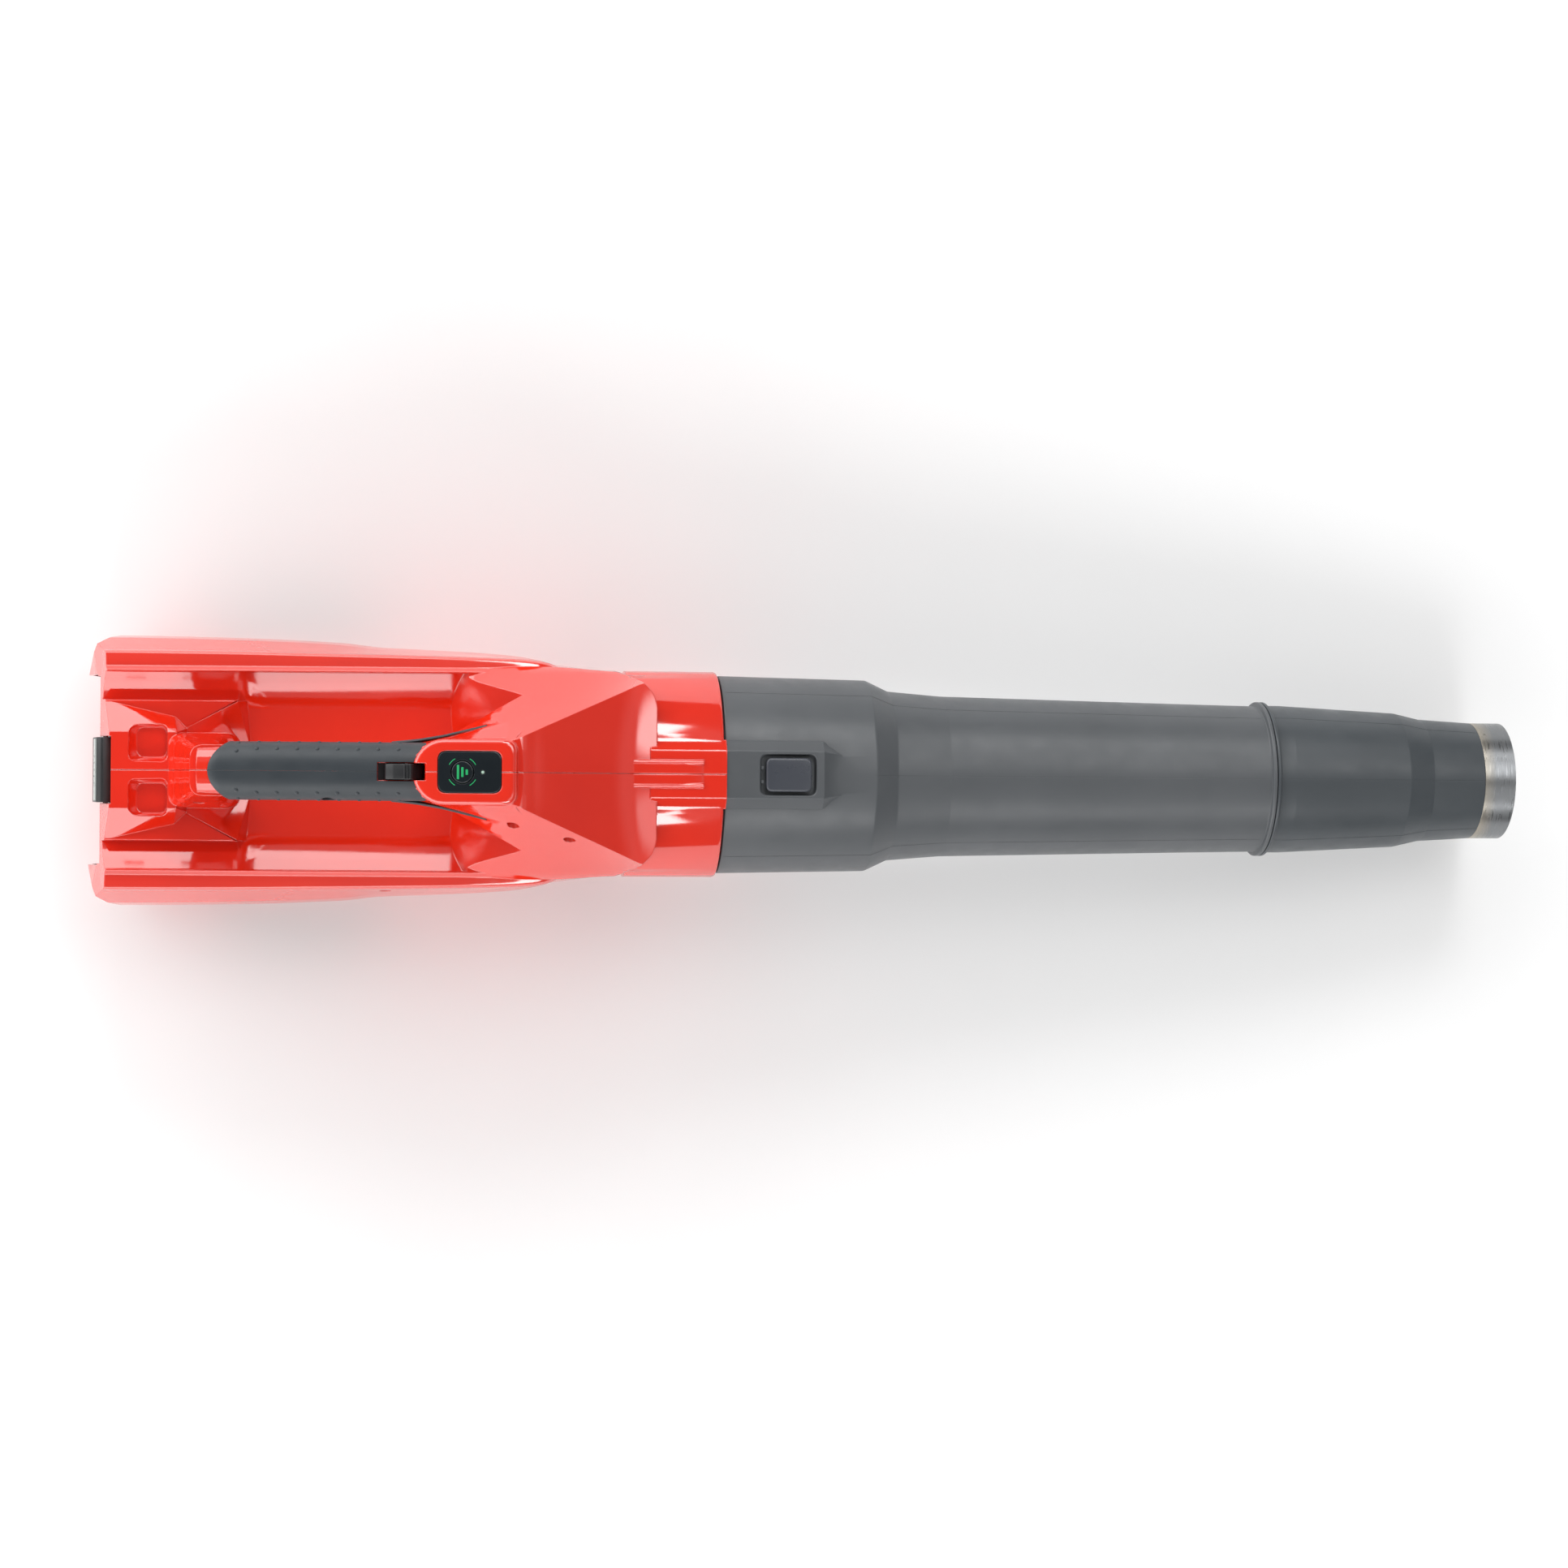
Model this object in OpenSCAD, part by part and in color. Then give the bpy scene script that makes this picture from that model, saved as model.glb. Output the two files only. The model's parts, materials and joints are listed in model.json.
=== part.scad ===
// Cordless axial leaf blower: clamshell housing with a loop handle, ducted fan, battery pack and a
// tapered tube. +X points along the airflow, +Z up, and the feet stand on Z = 0.

/* [Stance] */
// Height of the duct axis where the tube meets the housing
duct_z = 125; // [118:1:150]
// Downward tilt of the duct and tube, in degrees
tilt = 7; // [4:0.5:9]
// Height of the housing's underside above the floor
foot_h = 8; // [5:0.5:12]

/* [Housing] */
// Distance from the tube joint back to the rear lip
rear_len = 431; // [380:1:500]
// Half the width of the housing at its widest line
body_w = 93; // [85:1:112]
// Height of the widest line
widest_z = 80; // [70:1:90]
// Height of the shoulder beside the trough
shoulder_z = 150; // [146:1:160]
// Height of the trough floor below the handle
trough_z = 140; // [136:1:146]
// Half the width of the trough floor
trough_w = 42; // [36:1:50]
// Wall of the moulded shells
wall = 3; // [2.4:0.1:3.6]
// Half the width of the battery opening in the rear face
mouth_w = 64.8; // [62:0.2:68]

/* [Handle] */
// Height of the top of the grip
handle_top = 250; // [240:1:275]
// Half the width of the grip
grip_w = 18.9; // [16:0.1:22]
// Half the height of the grip
grip_h = 19; // [16:0.5:22]
// Thickness of the rubber overmould
grip_skin = 1.8; // [1.2:0.1:2.4]
// Height of the switch pod above the grip
pod_rise = 6; // [4:0.5:10]

/* [Duct and fan] */
// Inner radius of the fan duct
duct_r = 60.4; // [55:0.2:66]
// Wall of the fan duct and its outlet spigot
duct_wall = 3; // [2.4:0.2:4]
// Length of the spigot that the tube slides over
spigot_len = 62; // [50:1:64]
// Radius of the fan hub
hub_r = 27; // [25:0.5:32]
// Number of fan blades
blades = 9; // [7:1:11]
// Radial clearance of the blade tips
tip_gap = 0.8; // [0.5:0.1:1.5]
// Radius of the motor shaft
shaft_r = 3; // [2.5:0.5:4]
// Radial running clearance of shafts and pins in their bores
run = 0.05; // [0.02:0.01:0.09]

/* [Tube and nozzle] */
// Length from the joint to the end of the main tube
tube_len = 378; // [300:1:450]
// Length of the nozzle beyond the main tube
nozzle_len = 171; // [140:1:200]
// Outer radius of the tube where it meets the nozzle
tube_r = 50.3; // [46:0.1:56]
// Outer radius of the steel ring at the tip
tip_r = 40.1; // [36:0.1:44]
// Wall of the tube and nozzle
tube_wall = 2.4; // [1.8:0.1:3]
// Width of the steel tip ring
ring_w = 20; // [14:1:26]

/* [Battery pack] */
// Length of the pack
pack_l = 170; // [140:1:178]
// Width of the pack
pack_w = 112; // [106:1:116]
// Height of the pack
pack_h = 70; // [66:1:72]
// Height of the pack's underside above the floor
pack_z = 52; // [48:1:54]
// Radius of one cell
cell_r = 10.6; // [9:0.1:10.6]

/* [Fits] */
// Gap between pieces that are fixed to each other
snug = 0.2; // [0.1:0.05:0.3]
// Gap between pieces that move past each other
gap = 0.4; // [0.3:0.05:0.6]

/* [Hidden] */
$fn = 48;
far = 600;            // reach of the cutting blocks

// tube and nozzle, along the duct axis from the joint
spigot_r = duct_r + duct_wall;
collar_in = spigot_r + gap;
collar_r = collar_in + 3;
ring_r = collar_r + 2.7;
collar_len = 102.5;
shoulder_len = 15;
joint_gap = 0.8;
tip_s = tube_len + nozzle_len;
nozzle_r = tube_r + 0.4;

// the row frame is centred on the whole object
front_x = tip_s * cos(tilt) + tip_r * sin(tilt);
x0 = (rear_len - front_x) / 2;

// housing stations
rear_top_z = 165;
lip_z = 60;
rear_lean = 29;       // how far the rear face leans forward from lip_z to rear_top_z
nose_back = -126;     // front face of the switch pod
pod_back = -185;
pod_w = grip_w + 1.7;
pod_top = handle_top + pod_rise;
grip_back = -322;
grip_front = -190;
grip_z = handle_top - grip_h;      // centre line of the grip
floor_in = trough_z - wall;

// battery pack
pack_back = -rear_len + 16;
pack_front = pack_back + pack_l;
pack_top = pack_z + pack_h;
bay_wall = 2.4;

// driven features
button_s = 42.5;      // centre of the release button along the tube
button_l = 30.3;
button_w = 22.3;
well_l = 37;
well_w = 26.8;
well_floor = collar_in + 2;
pad_top = collar_r + 3.7;
pad_half = 15.7;
pad_foot = 22.5;
turbo_x = -157.7;
turbo_r = 7.2;
lens_x = -144.8;
panel_x = -153.1;     // centre of the panel around the turbo button
panel_l = 40.8;
panel_w = 26.8;
trigger_x = -192;
trigger_z = grip_z - 11;
trigger_slot = 7.6;   // half width of the opening for the trigger
cruise_slot = 5.4;    // half width of the opening for the cruise lever
slot_x = [-213, -181];
pin_r = 2;
latch_w = 43.6;
latch_z = shoulder_z - 2;
latch_x = -rear_len + 27;
cruise_x = -195;
cruise_z = grip_z + 8;
inlet_s = -112;       // upstream end of the fan duct
impeller_s = -94;     // upstream face of the fan hub
impeller_l = 27;
cup_s = -64;          // upstream face of the motor cup
cup_end = -14;
cup_r = hub_r;
motor_r = cup_r - 2.6;
screw_r = 2;
boss_r = 6.2;
seat_y = 12;          // depth of the screw seats from the seam
board_z = pod_top - 13;
grille_x = [-362, -246];
grille_z = [24, 72];
bore_r = ring_r - wall;            // bore of the housing around the fan duct
lug_angles = [60, 180, 300];       // bayonet lugs around the tube
press = 0.02;                      // radial gap of pieces pressed onto the shaft

// ---------------------------------------------------------------- frames and helpers
module body_frame() {
    translate([x0, 0, 0]) children();
}

module duct_frame() {
    translate([x0, 0, duct_z]) rotate([0, tilt, 0]) children();
}

// turns a [radius, station] outline about the X axis
module turned(outline) {
    rotate([0, 90, 0]) rotate_extrude() polygon(outline);
}

module ring(r_out, r_in, from, to) {
    turned([[r_in, from], [r_out, from], [r_out, to], [r_in, to]]);
}

module rod_y(r, x, z, y_from, y_to) {
    translate([x, y_to, z]) rotate([90, 0, 0]) cylinder(r = r, h = y_to - y_from);
}

module block(x, y, z) {
    translate([x[0], y[0], z[0]]) cube([x[1] - x[0], y[1] - y[0], z[1] - z[0]]);
}

module rounded_plate(l, w, r, h) {
    linear_extrude(h) union() {
        square([l - 2 * r, w], center = true);
        square([l, w - 2 * r], center = true);
        for (i = [-1, 1], j = [-1, 1])
            translate([i * (l / 2 - r), j * (w / 2 - r)]) circle(r);
    }
}

// closed skin through a list of equal-length rings of points
module skin(rings) {
    n = len(rings[0]);
    m = len(rings);
    polyhedron(
        points = [for (ring_pts = rings) each ring_pts],
        faces = concat(
            [[for (i = [0 : n - 1]) i]],
            [for (k = [0 : m - 2], i = [0 : n - 1])
                each [[k * n + i, (k + 1) * n + i, (k + 1) * n + (i + 1) % n],
                      [k * n + i, (k + 1) * n + (i + 1) % n, k * n + (i + 1) % n]]],
            [[for (i = [n - 1 : -1 : 0]) (m - 1) * n + i]]),
        convexity = 6);
}

// a round wire swept along points that run mostly in the X-Z plane
function sub(a, b) = [a[0] - b[0], a[1] - b[1], a[2] - b[2]];
function unit(v) = v / norm(v);
function heading(p, i) = unit(sub(p[min(i + 1, len(p) - 1)], p[max(i - 1, 0)]));
module wire(path, r, sides = 8) {
    skin([for (i = [0 : len(path) - 1])
        let (t = heading(path, i), u = unit(cross(t, [0.13, 1, 0.07])), v = cross(t, u))
        [for (k = [0 : sides - 1])
            path[i] + r * cos(360 * k / sides) * u + r * sin(360 * k / sides) * v]]);
}

// compression spring along Z from the origin
module spring(r, wire_r, height, turns) {
    steps = turns * 10;
    wire([for (i = [0 : steps])
        [r * cos(36 * i), r * sin(36 * i), wire_r + (height - 2 * wire_r) * i / steps]], wire_r, 6);
}

// ---------------------------------------------------------------- housing form
// each station: [x, widest half width, shoulder half width, rim half width, underside z, share of trough]
stations = [
    [-rear_len - 8, 1.004, 79.5, 71, 0, 1],
    [-412, 1.004, 79.5, 71, 0, 1],
    [-335, 0.992, 79, 70.5, 0, 1],
    [-257, 0.956, 78, 70, 0, 1],
    [-233, 0.927, 77.5, 70, 0, 1],
    [-200, 0.913, 76.5, 69.5, 0, 1],
    [-165, 0.895, 75, 69, 2, 1],
    [-138, 0.871, 73, 68, 8, 0.35],
    [-112, 0.803, 69, 66, 22, 0]];

// half outline of the section from the bottom centre to the top centre, inset by g
function half_section(st, g) =
    let (w = st[1] * body_w - g, ws = st[2] * body_w / 93 - g, wr = st[3] * body_w / 93,
         zb = foot_h + st[4] + g, zs = shoulder_z - g,
             zf = trough_z + (shoulder_z - trough_z) * (1 - st[5]) - g)
    [[0, zb], [w - 24, zb], [w - 9, zb + 7], [w - 2, (widest_z + zb) / 2 + 6], [w, widest_z],
     [w - 2.5, widest_z + 22], [ws + 1.5, zs - 8], [ws, zs], [wr, zs + 2], [wr - 3.5, zs + 3.5],
     [trough_w + 9, zf + 3], [trough_w, zf], [0, zf]];

function full_section(st, g) =
    let (half = half_section(st, g), n = len(half))
    concat(
        [for (p = half) [st[0], p[0], p[1]]],
        [for (i = [n - 2 : -1 : 1]) [st[0], -half[i][0], half[i][1]]]);

// side and plan outlines that trim the rear of the loft
module rear_trim(g) {
    t = g / cos(15);
    rotate([90, 0, 0]) translate([0, 0, -far / 2]) linear_extrude(far)
        polygon([[-rear_len + 12 + t, -1], [-rear_len + t, lip_z - 20], [-rear_len + t, lip_z],
            [-rear_len + rear_lean + t, rear_top_z], [-rear_len + rear_lean + t, far], [far, far],
                [far, -1]]);
}

module corner_trim(g) {
    linear_extrude(far) polygon([for (p = [
        [-rear_len - 1, -mouth_w + 8], [-rear_len + 5, -mouth_w - 8], [-rear_len + 22, -body_w + 1],
        [-rear_len + 40, -body_w - 4], [far, -body_w - 4], [far, body_w + 4], [-rear_len + 40, body_w + 4],
        [-rear_len + 22, body_w - 1], [-rear_len + 5, mouth_w + 8], [-rear_len - 1, mouth_w - 8]])
        [p[0] + g, p[1] - sign(p[1]) * g]]);
}

module lower_body(g) {
    intersection() {
        skin([for (st = stations) full_section(st, g)]);
        rear_trim(g);
        corner_trim(g);
    }
}

module nose(g) {
    hull() {
        block([nose_back - 16, nose_back - g], [-pod_w + g, pod_w - g], [200, pod_top - 2 - g]);
        skin([for (dx = [0, 4]) let (st = stations[len(stations) - 1])
            [for (p = full_section(st, g)) [p[0] - dx, p[1], p[2]]]]);
        translate([0, 0, duct_z]) rotate([0, tilt, 0]) ring(ring_r - g, 0, -50, -38, $fn = 40);
    }
}

// stubby toe under the fan that carries the front foot
module toe(g) {
    hull() {
        block([-130 + g, -98 - g], [-30 + g, 30 - g], [foot_h + g, foot_h + 12]);
        block([-136 + g, -90 - g], [-38 + g, 38 - g], [58, 64]);
    }
}

function grip_ring(x, zc, hy, hz) = [for (i = [0 : 19])
    let (a = i * 18, c = cos(a), s = sin(a))
    [x, hy * sign(c) * pow(abs(c), 0.75), zc + hz * sign(s) * pow(abs(s), 0.75)]];

function grip_sag(x) = 9 * pow(max(0, (-225 - x) / 150), 2);

module grip_form(g, from, to) {
    n = 8;
    skin([for (i = [0 : n])
        let (x = from + (to - from) * i / n)
        grip_ring(x, grip_z - grip_sag(x), grip_w - g, grip_h - g)]);
}

// Plan outline of a deck layer from its +Y points, mirrored and set in by g
function deck_plan(half, g) = let (inner = [for (p = half) [p[0] + (p[0] < -380 ? g : -g), p[1] - g]])
    concat(inner, [for (i = [len(inner) - 1 : -1 : 0]) [inner[i][0], -inner[i][1]]]);

// Deck behind the grip: a low plate and a higher middle that slopes down to it
module deck(g) {
    plate_h = wall + 12 - g;
    translate([0, 0, floor_in - 1]) linear_extrude(plate_h)
        polygon(deck_plan([[-402, 47], [-319, 47], [-354, 27.5]], g));
    hull() {
        translate([0, 0, floor_in - 1]) linear_extrude(plate_h)
            polygon(deck_plan([[-402, 47], [-352, 28]], g));
        translate([0, 0, trough_z + 20]) linear_extrude(5 - g)
            polygon(deck_plan([[-402, 24.5], [-357, 24.5]], g));
    }
}

module rear_leg(g) {
    hull() {
        block([-347 + g, -322 - g], [-16.5 + g, 16.5 - g], [grip_z - 17 + g, grip_z + 13 - g]);
        block([-366 + g, -320 - g], [-25 + g, 25 - g], [floor_in - 1, trough_z + 26 - g]);
    }
    deck(g);
}

module pod(g) {
    hull()
        for (i = [-1, 1]) {
            translate([pod_back + 16, i * (pod_w - 15), grip_z - 4])
                cylinder(r = 15 - g, h = pod_top - grip_z + 4 - g);
            translate([nose_back - 6, i * (pod_w - 6), grip_z - 4])
                cylinder(r = 6 - g, h = pod_top - grip_z + 4 - g);
        }
}

module front_leg(g) {
    hull() {
        block([pod_back + 12 + g, nose_back], [-grip_w + g, grip_w - g], [grip_z - 12, grip_z]);
        block([-150 + g, -120], [-29 + g, 29 - g], [grip_z - 24, grip_z - 16]);
        block([-152 + g, -112], [-34 + g, 34 - g], [floor_in - 1, trough_z]);
    }
}

module handle(g) {
    rear_leg(g);
    grip_form(g, -342, -150);
    pod(g);
    front_leg(g);
}

// flat pad along the top of the duct, with sloped sides
module top_pad(top, from, to, sink = 26) {
    translate([from, 0, 0]) rotate([90, 0, 90]) linear_extrude(to - from)
        polygon([[-pad_foot, top - sink], [-pad_foot, top - 7.5], [-pad_half, top], [pad_half, top],
            [pad_foot, top - 7.5], [pad_foot, top - sink]]);
}

module shell_form(g) {
    body_frame() {
        lower_body(g);
        nose(g);
        toe(g);
        handle(g);
    }
    duct_frame() {
        ring(ring_r - g, 0, -60, g > 0 ? 5 : 0, $fn = 40);
        if (g == 0) {
            top_pad(pad_top + 0.6, -52, 0);
            // raised rib with its two beads
            translate([-62, -7, ring_r - 6]) cube([50, 14, 10.4]);
            for (i = [-1, 1]) translate([-56, i * 8.6, pad_top + 0.9]) rotate([0, 90, 0])
                cylinder(r = 1.8, h = 40, $fn = 12);
        }
    }
}

function duct_top(x) = duct_z - x * tan(tilt) + ring_r;
function duct_under(x) = duct_z - x * tan(tilt) - spigot_r / cos(tilt);

// [x, z] of the screws that close the clamshell
screws = [[-222, trough_z - 11], [-128, grip_z - 9], [-92, duct_top(-92) + boss_r], [-246, grip_z + 6],
    [-338, trough_z + 46], [-396, foot_h + 16], [-250, foot_h + 16], [-142, foot_h + 26]];

module screw_bosses(side) {
    for (s = screws) rod_y(boss_r, s[0], s[1], side > 0 ? 0 : -far, side > 0 ? far : 0);
}

// pivot bosses inside the handle and behind the battery latch
module pivot_bosses() {
    for (i = [-1, 1]) {
        rod_y(4.4, trigger_x, trigger_z, min(i * 8.2, i * 17.2), max(i * 8.2, i * 17.2));
        rod_y(4.4, cruise_x, cruise_z, min(i * 6, i * 16), max(i * 6, i * 16));
        rod_y(4.6, latch_x, latch_z, min(i * 22.4, i * 31), max(i * 22.4, i * 31));
    }
}

module grille_window(clear) {
    for (i = [-1, 1])
        block([grille_x[0] - clear, grille_x[1] + clear], [min(i * 60, i * far), max(i * 60, i * far)],
            [grille_z[0] - clear, grille_z[1] + clear]);
}

module shell_half(side) {
    difference() {
        intersection() {
            difference() {
                shell_form(0);
                difference() {
                    shell_form(wall);
                    body_frame() {
                        screw_bosses(side);
                        pivot_bosses();
                    }
                }
                grip_zone();
            }
            translate([-far, side > 0 ? 0 : -far, 0]) cube([2 * far, far, far]);
        }
        // bore for the duct and its isolators
        duct_frame() ring(bore_r, 0, inlet_s - 4, 10, $fn = 40);
        body_frame() {
            // battery mouth and the latch opening above it
            block([-rear_len - 20, pack_back + 22], [-mouth_w, mouth_w], [pack_z - 8, pack_top + 5]);
            block([-rear_len - 20, latch_x + 9], [-latch_w / 2 - gap, latch_w / 2 + gap],
                [pack_top + 2, latch_z + 16]);
            // two pockets in the rear deck
            for (i = [-1, 1]) block([-387, -364], [i * 19.2 - 12.8, i * 19.2 + 12.8], [trough_z + 10,
                trough_z + 40]);
            // openings of the handle
            translate([panel_x, 0, pod_top - 2]) rounded_plate(panel_l + 0.4, panel_w + 0.4, 6, 10);
            translate([panel_x, 0, pod_top - 8]) rounded_plate(panel_l - 5.1, panel_w - 5.8, 4, 10);
            block(slot_x, [-cruise_slot, cruise_slot], [grip_z, pod_top + 10]);
            block([-240, -182], [-trigger_slot, trigger_slot], [grip_z - grip_h - 10, grip_z - 8]);
            rod_y(pin_r + 0.1, trigger_x, trigger_z, -14, 14);
            rod_y(pin_r + 0.1, cruise_x, cruise_z, -13, 13);
            rod_y(pin_r + 0.1, latch_x, latch_z, -latch_w / 2 - 6.2, latch_w / 2 + 6.2);
            for (s = screws) {
                rod_y(screw_r + 0.3, s[0], s[1], -seat_y - 5, seat_y + 1);
                rod_y(4.2, s[0], s[1], -far, -seat_y);
            }
            grille_window(0.3);
        }
    }
}

module grip_zone() {
    body_frame() difference() {
        grip_form(-1, grip_back, grip_front);
        grip_form(grip_skin, grip_back - 2, grip_front + 2);
    }
}

module grip_half(side) {
    color([0.16, 0.17, 0.18])
    body_frame() difference() {
        intersection() {
            difference() {
                grip_form(0, grip_back + snug, grip_front - snug);
                grip_form(grip_skin - snug, grip_back - 2, grip_front + 2);
            }
            block([-far, far], [side > 0 ? 0 : -far, side > 0 ? far : 0], [0, far]);
        }
        block(slot_x, [-cruise_slot, cruise_slot], [grip_z, pod_top + 10]);
        block([-242, -180], [-trigger_slot - 1, trigger_slot + 1], [grip_z - grip_h - 10, grip_z - 8]);
        rod_y(4.2, screws[3][0], screws[3][1], -far, 0);
    }
}

function side_w(x) = body_w * lookup(x, [for (st = stations) [st[0], st[1]]]);

// louvred panel that follows the side of the housing, slightly recessed in its window
module grille_half(side) {
    recess = 0.6;
    rise = side_w(grille_x[0]) - side_w(grille_x[1]);
    length = grille_x[1] - grille_x[0] - 2 * gap;
    knee = (widest_z + foot_h) / 2 + 6;
    bars = 7;
    pitch = (grille_z[1] - grille_z[0] - 5) / bars;
    color([0.05, 0.05, 0.06]) body_frame() mirror([0, side > 0 ? 0 : 1, 0])
        translate([grille_x[0] + gap, side_w(grille_x[0]) - recess, 0]) rotate([0, 0, -atan(rise / length)])
            difference() {
                rotate([90, 0, 90]) linear_extrude(length)
                    polygon([[-7.2, grille_z[0]], [-2, knee], [-0.5, grille_z[1]],
                        [-0.5 - wall, grille_z[1]], [-2 - wall, knee], [-7.2 - wall, grille_z[0]]]);
                for (i = [0 : bars - 1])
                    block([5, length - 5], [-20, 10], [grille_z[0] + 4 + pitch * i,
                        grille_z[0] + 1.4 + pitch * (i + 1)]);
            }
}

module feet() {
    color([0.05, 0.05, 0.05]) body_frame() {
        for (x = [-392, -200], i = [-1, 1])
            translate([x, i * 50, 0]) rounded_plate(34, 20, 6, foot_h - 0.05);
        translate([-114, 0, 0]) rounded_plate(24, 50, 6, foot_h - 0.05);
    }
}

module housing_screws() {
    color([0.35, 0.36, 0.37]) body_frame()
        for (s = screws) {
            rod_y(screw_r, s[0], s[1], -seat_y, seat_y);
            difference() {
                rod_y(3.6, s[0], s[1], -seat_y - 2.6, -seat_y);
                for (a = [0, 60, 120]) translate([s[0], -seat_y - 2.6, s[1]]) rotate([0, a, 0])
                    cube([3.4, 3, 0.9], center = true);
            }
        }
}

// ---------------------------------------------------------------- battery bay and electrics
module battery_bay() {
    in_w = pack_w / 2 + gap;
    out_w = in_w + bay_wall;
    color([0.07, 0.07, 0.08]) body_frame() difference() {
        union() {
            block([pack_back + 2, pack_front + gap + bay_wall], [-out_w, out_w],
                [pack_z - gap - bay_wall, pack_top + gap + bay_wall]);
            // rear flange that fills the mouth of the housing
            block([pack_back + 6, pack_back + 9], [-mouth_w + snug, mouth_w - snug],
                [pack_z - 8 + snug, pack_top + 5 - snug]);
        }
        block([pack_back - 9, pack_front + gap], [-in_w, in_w], [pack_z - gap, pack_top + gap]);
        // openings: latch notch, terminals and cooling slots
        block([pack_back - 9, pack_back + 14], [-latch_w / 2 - 1, latch_w / 2 + 1], [pack_top,
            pack_top + 20]);
        block([pack_front - 1, pack_front + 20], [-32.3, 32.3], [pack_z + 32.7, pack_z + 53.3]);
        for (i = [0 : floor((pack_l - 50) / 22)]) block([pack_back + 30 + i * 22, pack_back + 42 + i * 22], [-far, far],
            [pack_z + 8, pack_top - 12]);
    }
}

blade_y = [-24, -12, 0, 12, 24];
blade_z = pack_z + 43;

module terminal_block() {
    color([0.12, 0.12, 0.13]) body_frame() difference() {
        block([pack_front + gap, pack_front + gap + 9], [-32, 32], [pack_z + 33, pack_z + 53]);
        for (y = blade_y) block([pack_front, pack_front + 30], [y - 0.5, y + 0.5], [blade_z - 4.1,
            blade_z + 4.1]);
    }
}

module terminal_blades() {
    color([0.75, 0.65, 0.40]) body_frame()
        for (y = blade_y) block([pack_front - 12, pack_front + gap + 13], [y - 0.4, y + 0.4],
            [blade_z - 4, blade_z + 4]);
}

case_x = [-236, -166];
case_z = foot_h + wall + 2;
module controller_case() {
    color([0.55, 0.57, 0.58]) body_frame() difference() {
        block(case_x, [-38, 38], [case_z, case_z + 29]);
        block([case_x[0] + 2, case_x[1] - 2], [-36, 36], [case_z + 3, case_z + 35]);
    }
}

module controller_board() {
    color([0.08, 0.30, 0.14]) body_frame() {
        block([case_x[0] + 2.4, case_x[1] - 2.4], [-35.6, 35.6], [case_z + 8, case_z + 9.6]);
        for (i = [0 : 2], j = [-1, 1]) block([case_x[0] + 10 + i * 17, case_x[0] + 20 + i * 17],
            [j * 22 - 5, j * 22 + 5], [case_z + 9.6, case_z + 14]);
        for (y = [-9, 9]) translate([case_x[0] + 36, y, case_z + 9.6]) cylinder(r = 7, h = 15);
        block([case_x[1] - 24, case_x[1] - 12], [-8, 8], [case_z + 9.6, case_z + 17]);
    }
}

module power_leads() {
    color([0.60, 0.05, 0.05]) body_frame()
        for (y = [-24, 24])
            wire([[pack_front + gap + 13.6, y, blade_z], [pack_front + 18, y, blade_z - 2],
                [pack_front + 21, y * 0.9, blade_z - 14], [case_x[0] + 13, y * 0.8, case_z + 39],
                [case_x[0] + 12, y * 0.66, case_z + 25], [case_x[0] + 13, y * 0.6, case_z + 10.2]], 2.2);
}

module motor_leads() {
    color([0.10, 0.10, 0.11]) body_frame()
        for (y = [-8, 0, 8])
            wire([[case_x[1] - 18, y, case_z + 17.6], [case_x[1] - 14, y, case_z + 31],
                [case_x[1] + 6, y, case_z + 39], [-132, y, duct_under(-132) - 27],
                [-100, y, duct_under(-100) - 21], [-84, y * 1.1, duct_under(-84) - 13],
                [-73, y * 1.2, duct_under(-73) - 4]], 1.8);
}

module signal_lead() {
    color([0.85, 0.85, 0.85]) body_frame()
        wire([[-207.3, 5.6, grip_z + 2.5], [-203, 8.6, grip_z - 1.5], [-190, 9.5, grip_z - 1.5],
            [-172, 9.5, grip_z - 5], [-160, 9.5, grip_z - 10], [-150, 9, grip_z - 15],
            [-138, 8, grip_z - 40], [-136, 6, trough_z + 10], [-142, 4, trough_z - 12], [-166, 4, 100],
            [-188, 4, 62], [-188, 4, case_z + 18]], 1.1, 6);
}

module trigger_switch() {
    color([0.09, 0.09, 0.10]) body_frame() {
        block([-238.5, -207.5], [-6.8, 6.8], [grip_z + 1, grip_z + 14]);
        block([-230, -226], [-2, 2], [grip_z + 0.2, grip_z + 1]);
    }
}

// ---------------------------------------------------------------- controls
module trigger() {
    color([0.06, 0.06, 0.07]) body_frame() difference() {
        translate([0, 7.2, 0]) rotate([90, 0, 0]) linear_extrude(14.4) polygon([
            [trigger_x + 6, trigger_z + 5], [trigger_x - 6, trigger_z + 6], [-226, grip_z - 9.2],
            [-237, grip_z - 12], [-238, grip_z - 16], [-233, grip_z - 23], [-222, grip_z - 26.5],
            [-210, grip_z - 27], [-199, grip_z - 24], [trigger_x + 1, trigger_z - 6], [trigger_x + 6,
                trigger_z - 3]]);
        rod_y(pin_r + run, trigger_x, trigger_z, -far / 2, far / 2);
    }
}

module pin_y(x, z, half) {
    color([0.6, 0.6, 0.62]) body_frame() rod_y(pin_r, x, z, -half, half);
}

module trigger_spring() {
    color([0.7, 0.7, 0.72]) body_frame() translate([-214, 0, grip_z - 6.5]) spring(3.4, 0.45, 7.2, 4);
}

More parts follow.
